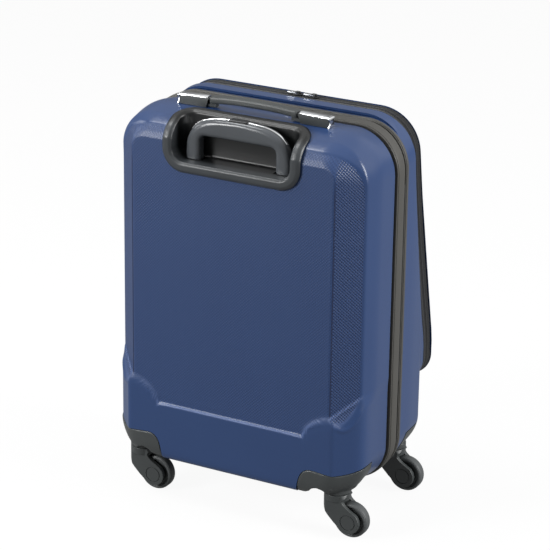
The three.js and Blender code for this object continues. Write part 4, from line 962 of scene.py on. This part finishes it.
# %% [markdown]
# ## Carry handle
# Two fixed nylon caps stand on the top with a low arched grip between them, which lifts a little on its
# tongues. A chromed strap covers each cap's top and bends down over its end, where it flares to a foot.

# %% Carry handle
HANDLE_Y, SEAT, HANDLE_TOP, CAP_INNER, HANDLE_END = 55.6, 493.6, 506.0, 59.0, 101.0
HANDLE_NEAR, HANDLE_FAR = HANDLE_Y - 6.7, HANDLE_Y + 6.7


def strap_plan():
    """The strap's end plate seen from the end: narrow in the middle, with a flared head and foot."""
    near, neck = HANDLE_NEAR, HANDLE_NEAR + 2.8
    points = [(near, SEAT - 4), (near, SEAT + 0.6)]
    points += curve(points[-1], (near + 0.4, SEAT + 3.4), (neck, SEAT + 3.4), (neck, SEAT + 5.6), 8)
    points += curve(points[-1], (neck, SEAT + 8), (near, SEAT + 8), (near, SEAT + 10.5), 8)
    points += [(near, HANDLE_TOP - 1.6)]
    points += bent(points[-1], (near + 1.8, HANDLE_TOP + 1.2), (HANDLE_Y, HANDLE_TOP + 1.5), 8)
    return points + [(2 * HANDLE_Y - y, z) for y, z in reversed(points)]


def strap_line():
    """The strap seen from behind: over the cap's top and down over its end."""
    end, top, thick = HANDLE_END, HANDLE_TOP, 1.8
    points = [(end, SEAT - 1), (end, top - 3)]
    points += bent(points[-1], (end, top), (end - 3.2, top))
    points += [(CAP_INNER + 2, top + 1.5), (CAP_INNER + 2, top - 0.3), (end - 3.2, top - thick)]
    points += bent(points[-1], (end - thick, top - thick), (end - thick, top - 3))
    return points + [(end - thick, SEAT - 1)]


CAP_LINE = ((HANDLE_END - 2.1, SEAT - 1), (HANDLE_END - 2.1, 503.9), (CAP_INNER, 505.4),
            (CAP_INNER + 4, SEAT - 1))
for side, hand in SIDES:
    block = prism([(side * x, z) for x, z in CAP_LINE], "y", HANDLE_NEAR + 0.6, HANDLE_FAR - 0.6)
    tongue_room = box(*sorted((side * (CAP_INNER - 2), side * 92)), HANDLE_NEAR + 2, HANDLE_FAR - 2,
                      SEAT + 1.2, 502.9)
    cap = bevelled(cut(block, above_shell(), tongue_room), 0.5, 3, 50)
    finished(cap, f"handle_cap_{hand}_moulding", "back_half", "dark_plastic", caster_nylon,
             f"handle_cap_{hand}", sharp=35)
    strap = prism([(side * x, z) for x, z in strap_line()], "y", HANDLE_NEAR, HANDLE_FAR)
    strap = common(cut(strap, above_shell()), prism(strap_plan(), "x", *sorted((side * 50, side * 110))))
    finished(bevelled(strap, 0.4, 3, 40), f"handle_strap_{hand}_plated", "back_half", "chrome", chrome,
             f"handle_trim_{hand}", sharp=35)


def carry_grip():
    """The grip bar with a tongue at each end that slides in the caps."""
    half, low, high = CAP_INNER - 1, SEAT + 5.5, HANDLE_TOP + 1
    points = [(-half, low), *bent((-half, low), (0, low + 6), (half, low), 16), (half, high),
              *bent((half, high), (0, high + 6), (-half, high), 16)]
    whole = bevelled(prism(points, "y", HANDLE_NEAR + 0.3, HANDLE_FAR - 0.3), 2.2, 5, 60)
    # Two long tongues under the caps, and two knees that join them to the bar.
    return join(whole, *[box(*sorted((side * (half - 8), side * reach)), HANDLE_NEAR + 3, HANDLE_FAR - 3,
                             SEAT + 1.5, top)
                         for reach, top in ((87, SEAT + 4.5), (half, low + 2)) for side in (1, -1)])


finished(carry_grip(), "carry_grip_moulding", "carry_grip", "dark_plastic", caster_nylon, "carry_grip",
         sharp=35)

# %% [markdown]
# ## Main closure
# Each half carries a woven zip tape round its rim and an extruded vinyl band over the tape's sewn edge. A
# band is one profile run round the rim outline. The tapes end in the zip's coil, which is drawn as a bead.

# %% Bands
def rim_sweep(profile):
    """Runs a closed (depth, height above the rim) profile round the rim outline."""
    rings = []
    for y, out in profile:
        part = [y, HALF_WIDTH + out, RIM_TOP + out, RIM_BOTTOM - out, 53 + out, 54 + out]
        rings.append([(x, y, z) for x, z in outline(part, 24, [s / 30 for s in range(1, 30)], CROSS_ROWS)])
    return hoop(rings)


def band_profile(y0, y1, proud, step):
    """A wide foot with a narrower domed crown, like an extruded bead."""
    shoulder = proud - 1.2
    left = [(y0, -1.9), (y0, shoulder - 0.5), (y0 + 0.15, shoulder - 0.15), (y0 + 0.5, shoulder),
            (y0 + step - 0.5, shoulder), (y0 + step - 0.1, shoulder + 0.1), (y0 + step, shoulder + 0.4)]
    span = (y1 - y0) / 2 - step
    dome = [(y0 + step + span * (1 - math.cos(a)),
             shoulder + 0.4 + (proud - shoulder - 0.4) * math.sin(a) ** 0.6)
            for a in (math.pi / 2 * k / 8 for k in range(1, 9))]
    half = left + dome
    return half + [(y0 + y1 - y, out) for y, out in reversed(half[:-1])]


finished(rim_sweep(band_profile(-3.05, 16.2, 3, 2.2)), "band_extrusion", "back_half", "piping", piping_vinyl,
         "closure_band", sharp=50)
finished(rim_sweep(band_profile(-15.35, -7.95, 2, 1.4)), "piping_extrusion", "front_half", "piping",
         piping_vinyl, "front_piping", sharp=50)

# %% Woven tapes
def woven(name, shades, thread_mm, depth):
    """Plain woven polyester: threads cross at a pitch, and the fuzz scatters a soft sheen."""
    values = {"Roughness": 0.85, "Sheen Weight": 0.1, "Sheen Roughness": 0.5}
    material, tree, shader, where = starts(name, values)
    axes = node(tree, "ShaderNodeSeparateXYZ", {0: where}).outputs
    waves = [wave(tree, axes[k], math.tau * 1000 / thread_mm) for k in range(3)]
    first = node(tree, "ShaderNodeMath", {0: waves[0], 1: waves[2]}, operation="MULTIPLY").outputs[0]
    weave = node(tree, "ShaderNodeMath", {0: waves[1], 1: waves[2], 2: first},
                 operation="MULTIPLY_ADD").outputs[0]
    bump = node(tree, "ShaderNodeBump", {"Height": weave, "Distance": depth, "Strength": 0.7})
    tree.links.new(bump.outputs[0], shader.inputs["Normal"])
    tree.links.new(mottled(tree, where, shades, 150.0, 2.0), shader.inputs["Base Color"])
    return material


# Real zip tape has about 0.6 mm between threads. It is drawn at 1.8 mm so that the weave shows.
tape_cloth = woven("black woven polyester", ("#101114", "#191b1d"), 1.8, 0.00012)
lining_cloth = woven("charcoal woven polyester", ("#2b2d32", "#35373d"), 2.2, 0.0001)


def tape_profile(y_rim, y_slit):
    """A 1.5 mm tape with the zip's coil as a bead along its slit edge."""
    way = 1 if y_slit > y_rim else -1
    coil = [(y_slit - way * (1.0 - math.sin(a)), -1.45 + 0.95 * math.cos(a))
            for a in np.linspace(-1.2, 2.2, 10).tolist()]
    return [(y_rim, -3.7), (y_rim, -2.2), (y_slit - way * 2.4, -2.2), *coil, (y_slit - way * 0.6, -3.7)]


finished(rim_sweep(tape_profile(21.65, -5.25)), "back_tape_woven", "back_half", "zip_cloth", tape_cloth,
         "back_zip_tape", sharp=40)
finished(rim_sweep(tape_profile(-15.35, -5.75)), "front_tape_woven", "front_half", "zip_cloth", tape_cloth,
         "front_zip_tape", sharp=40)

# %% [markdown]
# ## Pocket closure
# The pocket's zip is wider and shows all its cloth: one tape on the shell's frame and one on the door, each
# 11 mm wide with three woven ribs and the coil beside the slit.

# %% Pocket tapes
SILL_SPAN = 118.0


def pocket_sweep(profile):
    """Runs a closed (distance in front of the line, inset) profile round the pocket, except at the sill."""
    whole = hoop([pocket_ring(inset, forward, steps=20) for forward, inset in profile])
    return cut(whole, box(-SILL_SPAN, SILL_SPAN, -130, 0, POCKET_SILL - 5, POCKET_SILL + 8))


def ribbed(sewn, slit):
    """A tape from its sewn edge to its slit edge: three ribs, then the coil's bead."""
    way = 1 if slit > sewn else -1
    top = [(sewn, 1.6)]
    for rib in (2.2, 4.4, 6.6):
        top += [(sewn + way * (rib - 0.6), 1.5), (sewn + way * rib, 1.05), (sewn + way * (rib + 0.6), 1.5)]
    top += [(slit - way * (1.1 - 1.1 * math.sin(a)), 1.9 - 1.1 * math.cos(a))
            for a in np.linspace(-1.1, 1.57, 8).tolist()]
    return top + [(slit, 2.5), (sewn, 2.5)]


finished(pocket_sweep(ribbed(-2.2, 11.3)), "pocket_tape_woven", "front_half", "zip_cloth", tape_cloth,
         "pocket_zip_tape", sharp=40)
finished(pocket_sweep(ribbed(24.4, 11.9)), "door_tape_woven", "pocket_door", "zip_cloth", tape_cloth,
         "door_zip_tape", sharp=40)

# %% [markdown]
# ## Hinge tapes and gussets
# Cloth that crosses a joint bends with it. The lid's hinge is a narrow woven strip in the groove on one side.
# The pocket door turns on a wide strip at its sill. The two gussets at the pocket's sides are pleated, deeper
# towards the top, so that they fan out as the door falls open. Each is a grid with a thin wall.

# %% Cloth that crosses a joint
def cloth_grid(rows, thickness):
    """A woven piece from rows of points, thickened about its middle, and its cloth's area in m2."""
    bm = bmesh.new()
    count = len(rows[0])
    bmesh.ops.create_grid(bm, x_segments=count - 1, y_segments=len(rows) - 1, size=0.5)
    for vertex in bm.verts:
        i = round((vertex.co.x + 0.5) * (count - 1))
        vertex.co = rows[round((vertex.co.y + 0.5) * (len(rows) - 1))][i]
    made = mesh_object(bm)
    area = sum(face.area for face in made.data.polygons) * 1e-6
    wall = made.modifiers.new("wall", "SOLIDIFY")
    wall.thickness, wall.offset = thickness, 0
    return applied(made), area


def joined_cloth(made, name, replaced, a):
    """Finishes a piece of cloth, then takes it off its body again with its place kept in its points."""
    finished(made, name, a, "zip_cloth", tape_cloth, replaced, sharp=60)
    made.parent = None
    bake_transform(made)
    return made


strip = [[(-165.6 - 0.7 * math.sin(math.pi * s), -7.6 + 4.2 * s, z) for s in np.linspace(0, 1, 6).tolist()]
         for z in np.linspace(169, 418, 60).tolist()]
hinge, _ = cloth_grid(strip, 0.9)
joined_cloth(hinge, "hinge_tape_woven", "hinge_tape", "front_half")

sill_rows = [[(x, y, POCKET_SILL + 1.7) for x in np.linspace(-117.7, 117.7, 60).tolist()]
             for y in np.linspace(-108.6, -86.7, 8).tolist()]
sill_tape, _ = cloth_grid(sill_rows, 1.3)
finished(sill_tape, "sill_tape_woven", "front_half", "zip_cloth", tape_cloth, "pocket_hinge_tape", sharp=60)

GUSSET_X, GUSSET_LOW, GUSSET_HIGH, DEEPER_ABOVE, PLEATS, PLEAT_DEPTH = 157.6, 168, 440, 283, 4, 9
for side, hand in SIDES:
    rows = []
    for z in np.linspace(GUSSET_LOW, GUSSET_HIGH, 70).tolist():
        start = pocket_edge_y(z) + (4 if z > DEEPER_ABOVE else -1)
        end = pocket_edge_y(z) - DOOR_FORWARD + 1.4
        deep = PLEAT_DEPTH * (z - GUSSET_LOW) / (GUSSET_HIGH - GUSSET_LOW)
        row = []
        for s in np.linspace(0, 1, 33).tolist():
            pleat = abs((s * PLEATS) % 1 * 2 - 1)
            row.append((side * (GUSSET_X - deep * (1 - pleat)), start + (end - start) * s, z))
        rows.append(row)
    gusset, area = cloth_grid(rows, 0.5)
    name = f"gusset_{hand}_pleated"
    gusset = joined_cloth(gusset, name, f"pocket_gusset_{hand}", "front_half")

# %% [markdown]
# ## Lining
# Cloth-covered boards close the two halves inside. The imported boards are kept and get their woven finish.

# %% Lining
for name in ("back_lining", "pocket_liner"):
    boards = nodes[name].data.materials
    boards.clear()
    boards.append(lining_cloth)
    print(name, "wears", lining_cloth.name)

# %% [markdown]
# ## Caster housings
# Each corner is a nylon moulding of the shell's own form. Around the wheel it is scooped out in a ring, its
# lower edge is arched, and in the middle it flares down to a round collar that the caster turns under. A roof
# over the ring keeps the inside of the case closed. One housing is built for each end and mirrored across.

# %% Housings
WELL_RADIUS = 43.4


def ring_well(x, y):
    return turned([(18.4, -10), (40, -10), (40, 0), (38.4, 55), (36.5, 58.2), (32, 60), (24, 60),
                   (20.5, 58.8), (18.9, 56), (18.4, 50)], "z", (x, y, 0))


def arch(end, grow):
    return bar(13 + grow, "y", (CASTER_X - 14.5, 52), *sorted((end["y"], end["y"] + end["way"] * 60)))


def housing(end):
    """The housing at +X of one end."""
    levels, y = end["levels"], end["y"]
    hollow = cut(form(grown(levels, -4.5)), bar(WELL_RADIUS, "z", (CASTER_X, y), -10, 64), arch(end, 3.4))
    corner = cut(common(form(grown(levels, BORDER_PROUD), 2, 30, 30), corner_region(1, end, 0)), hollow,
                 ring_well(CASTER_X, y), arch(end, 0))
    flare = turned([(0.01, 55), (16.4, 55), (17.2, 57), (19, 58.5), (22, 61.5), (25.4, 65), (25.4, 66.5),
                    (0.01, 66.5)], "z", (CASTER_X, y, 0))
    near = y - end["way"] * HOUSING_REACH
    plan = [(HOUSING_INNER, near), (levels[1][1], near),
            *[(half + 2, depth) for depth, half, *_ in levels[2:]], (HOUSING_INNER, levels[-1][0])]
    collar = common(bar(16.4, "z", (CASTER_X, y), 55, 61), prism(plan, "z", 0, FAR))
    roof = cut(common(bar(WELL_RADIUS, "z", (CASTER_X, y), 41, 64), form(grown(levels, -3.4))),
               ring_well(CASTER_X, y), arch(end, 0))
    whole = join(corner, roof, collar, common(flare, form(levels)), bar(9, "z", (CASTER_X, y), 60, 75))
    whole = cut(whole, bar(40, "z", (CASTER_X, y), -10, 54.8))
    return cut(softened(whole, 0.8, 4), bar(4.4, "z", (CASTER_X, y), 50, 73))


def copied(made, mirror=False):
    """A copy of an object, or its mirror image across X with its faces turned outwards again."""
    copy = bpy.data.objects.new("copy", made.data.copy())
    scene.collection.objects.link(copy)
    if mirror:
        copy.data.transform(Matrix.Scale(-1, 4, (1, 0, 0)))
        copy.data.flip_normals()
    return copy


for end in (back_end, front_end):
    left = housing(end)
    for made, hand in ((left, "left"), (copied(left, mirror=True), "right")):
        name = f"{end['where']}_housing_{hand}"
        finished(made, f"{name}_moulding", end["half"], "dark_plastic", caster_nylon, name, sharp=50)

# %% [markdown]
# ## Casters
# A caster trails its wheel behind its kingpin. The fork is one nylon moulding: a round hood, and two legs
# that sweep down to discs over the axle. The wheel is a nylon hub with a polyurethane tyre.

# %% Fork
WHEEL_X, WHEEL_RADIUS, FORK_TOP, DISC_RADIUS = -20.0, 22.0, 54.6, 14.6


def fork():
    """A fork about its kingpin's axis, with its wheel towards -X."""
    top, disc = FORK_TOP, DISC_RADIUS
    leg = [(16.0, top), (15.6, top - 12)]
    leg += bent(leg[-1], (14, 30), (WHEEL_X + disc * 0.72, WHEEL_RADIUS - disc * 0.7), 16)
    leg += [(WHEEL_X + disc * math.cos(a), WHEEL_RADIUS + disc * math.sin(a))
            for a in np.linspace(-0.77, -math.pi * 1.28, 40).tolist()]
    leg += curve(leg[-1], (WHEEL_X + 3, 40), (-7, 46), (-14.8, top - 4), 14)
    leg += [(-16, top)]
    legs = bevelled(prism(leg, "y", -13, 13), 1.6, 3, 60)
    beyond = join(cut(box(0, 30, -14, 14, 0, 56), bar(16.4, "z", (0, 0), -1, 57)),
                  cut(box(-30, 0.1, -14, 14, 42, 56), bar(23, "z", (0, 0), 41, top + 0.1, tip_radius=16.2)))
    hood = bar(15.6, "z", (0, 0), 45.6, top, tip_radius=16.4)
    room = join(bar(23.2, "y", (WHEEL_X, WHEEL_RADIUS), -7.5, 7.5), box(-50, WHEEL_X, -7.5, 7.5, -8, 45))
    whole = softened(cut(join(cut(legs, beyond), hood), room), 0.5, 4)
    cut(whole, *[turned([(9, side * 12.2), (9.9, side * 12.2), (10.1, side * 14), (8.8, side * 14)], "y",
                        (WHEEL_X, 0, WHEEL_RADIUS)) for side in (1, -1)])
    return join(cut(whole, bar(3.2, "y", (WHEEL_X, WHEEL_RADIUS), -11, 11)), bar(4, "z", (0, 0), 53, 72))


def placed(made, x, y, about):
    """A copy of a caster part, moved from its kingpin to a corner. about turns it half a turn first."""
    copy = copied(made)
    if about:
        copy.data.transform(Matrix.Rotation(math.pi, 4, "Z"))
    copy.data.transform(Matrix.Translation((x, y, 0)))
    return copy


# %% Wheel
def wheel_part(*half):
    """A ring about the axle, symmetric about the wheel's middle, from half of its (radius, y) profile."""
    profile = [*half, *[(radius, -y) for radius, y in reversed(half)]]
    return turned(profile, "y", (WHEEL_X, 0, WHEEL_RADIUS), 96)


tyre = wheel_part((15.4, 3.4), (16.6, 3.8), (17.4, 5.7), (18.1, 6.35), (19, 6.5), (20.2, 6.4), (20.8, 6.0),
                  (20.9, 5.55), (21.4, 5.3), (21.8, 4.5), (22, 3.2), (22, 0.8))
hub = wheel_part((3.1, 6.1), (6.1, 6.1), (6.5, 5.7), (6.8, 1.9), (7.4, 1.5), (11.6, 1.5), (12.2, 1.9),
                 (12.4, 3.0), (12.9, 3.3), (14.9, 3.3), (15.3, 3.1))
axle = bevelled(bar(3, "y", (WHEEL_X, WHEEL_RADIUS), -10.7, 10.7, sides=40), 0.4, 2, 50)
caster_fork = fork()
for end in (back_end, front_end):
    for side, hand in SIDES:
        corner, about = f"{end['where']}_{hand}", end is front_end and side > 0
        for source, piece, making, body, slot, material in (
                (caster_fork, "fork", "moulding", "caster", "dark_plastic", caster_nylon),
                (axle, "axle", "pin", "caster", "steel", axle_steel),
                (tyre, "tyre", "moulding", "wheel", "tyre", tyre_polyurethane),
                (hub, "hub", "moulding", "wheel", "dark_plastic", caster_nylon)):
            finished(placed(source, side * CASTER_X, end["y"], about), f"{piece}_{corner}_{making}",
                     f"{body}_{corner}", slot, material, f"{piece}_{corner}", sharp=40)
for made in (caster_fork, axle, tyre, hub):
    discard(made)

# %% [markdown]
# ## Zip sliders and pulls
# A slider is a small die-cast body with a bridge that its pull hangs in. Two meet on each zip.

# %% Sliders
def slider(width, plate):
    """A slider along +X at its zip's bed, with a bridge over it."""
    body = prism([(-5.5, -width * 0.34), (-3, -width * 0.42), (5.5, -width / 2), (5.5, width / 2),
                  (-3, width * 0.42), (-5.5, width * 0.34)], "z", 0, plate)
    arc = ((-3.4, -0.5), (-3.4, 2.2), (-2.4, 3.1), (2.4, 3.1), (3.4, 2.2), (3.4, -0.5), (1.6, -0.5),
           (1.6, 2.1), (-1.6, 2.1), (-1.6, -0.5))
    bridge = prism([(x, plate + rise) for x, rise in arc], "y", -1.5, 1.5)
    return join(bevelled(body, 0.35, 3, 40), bevelled(bridge, 0.25, 2, 40))


def pull(height):
    """A flat tab with a window for the bridge and an eye near its end."""
    tab = prism(round_box(-0.7, 14, -3.25, 3.25, 1.2, 6), "z", height - 0.7, height + 0.7)
    cut(tab, prism(round_box(0.7, 4.4, -1.9, 1.9, 0.4, 4), "z", height - 2, height + 2),
        bar(1.7, "z", (10.8, 0), height - 2, height + 2, sides=32))
    return bevelled(tab, 0.3, 3, 40)


def on_zip(zip_name, hand, width, plate, tab_height, place):
    """One slider and its pull, moved to their place on a zip."""
    for made, piece, slot, material in ((slider(width, plate), "slider", "black_plastic", black_acetal),
                                        (pull(tab_height), "pull", "chrome", chrome)):
        made.data.transform(place)
        own = f"{zip_name}_{piece}_{hand}"
        finished(made, f"{own}_cast", own, slot, material, own, sharp=40)


HALF_APART = 11
for side, hand in SIDES:
    on_zip("pocket", hand, 9, 1.6, 2.65, Matrix.Translation((-14 + side * HALF_APART, -45.6, 492.3)))
for up, hand in ((1, "upper"), (-1, "lower")):
    on_zip("main", hand, 4.3, 4.5, 5.55, Matrix.Translation((164.1, -5.5, 300 + up * HALF_APART))
           @ Matrix.Rotation(math.pi / 2, 4, "Y"))
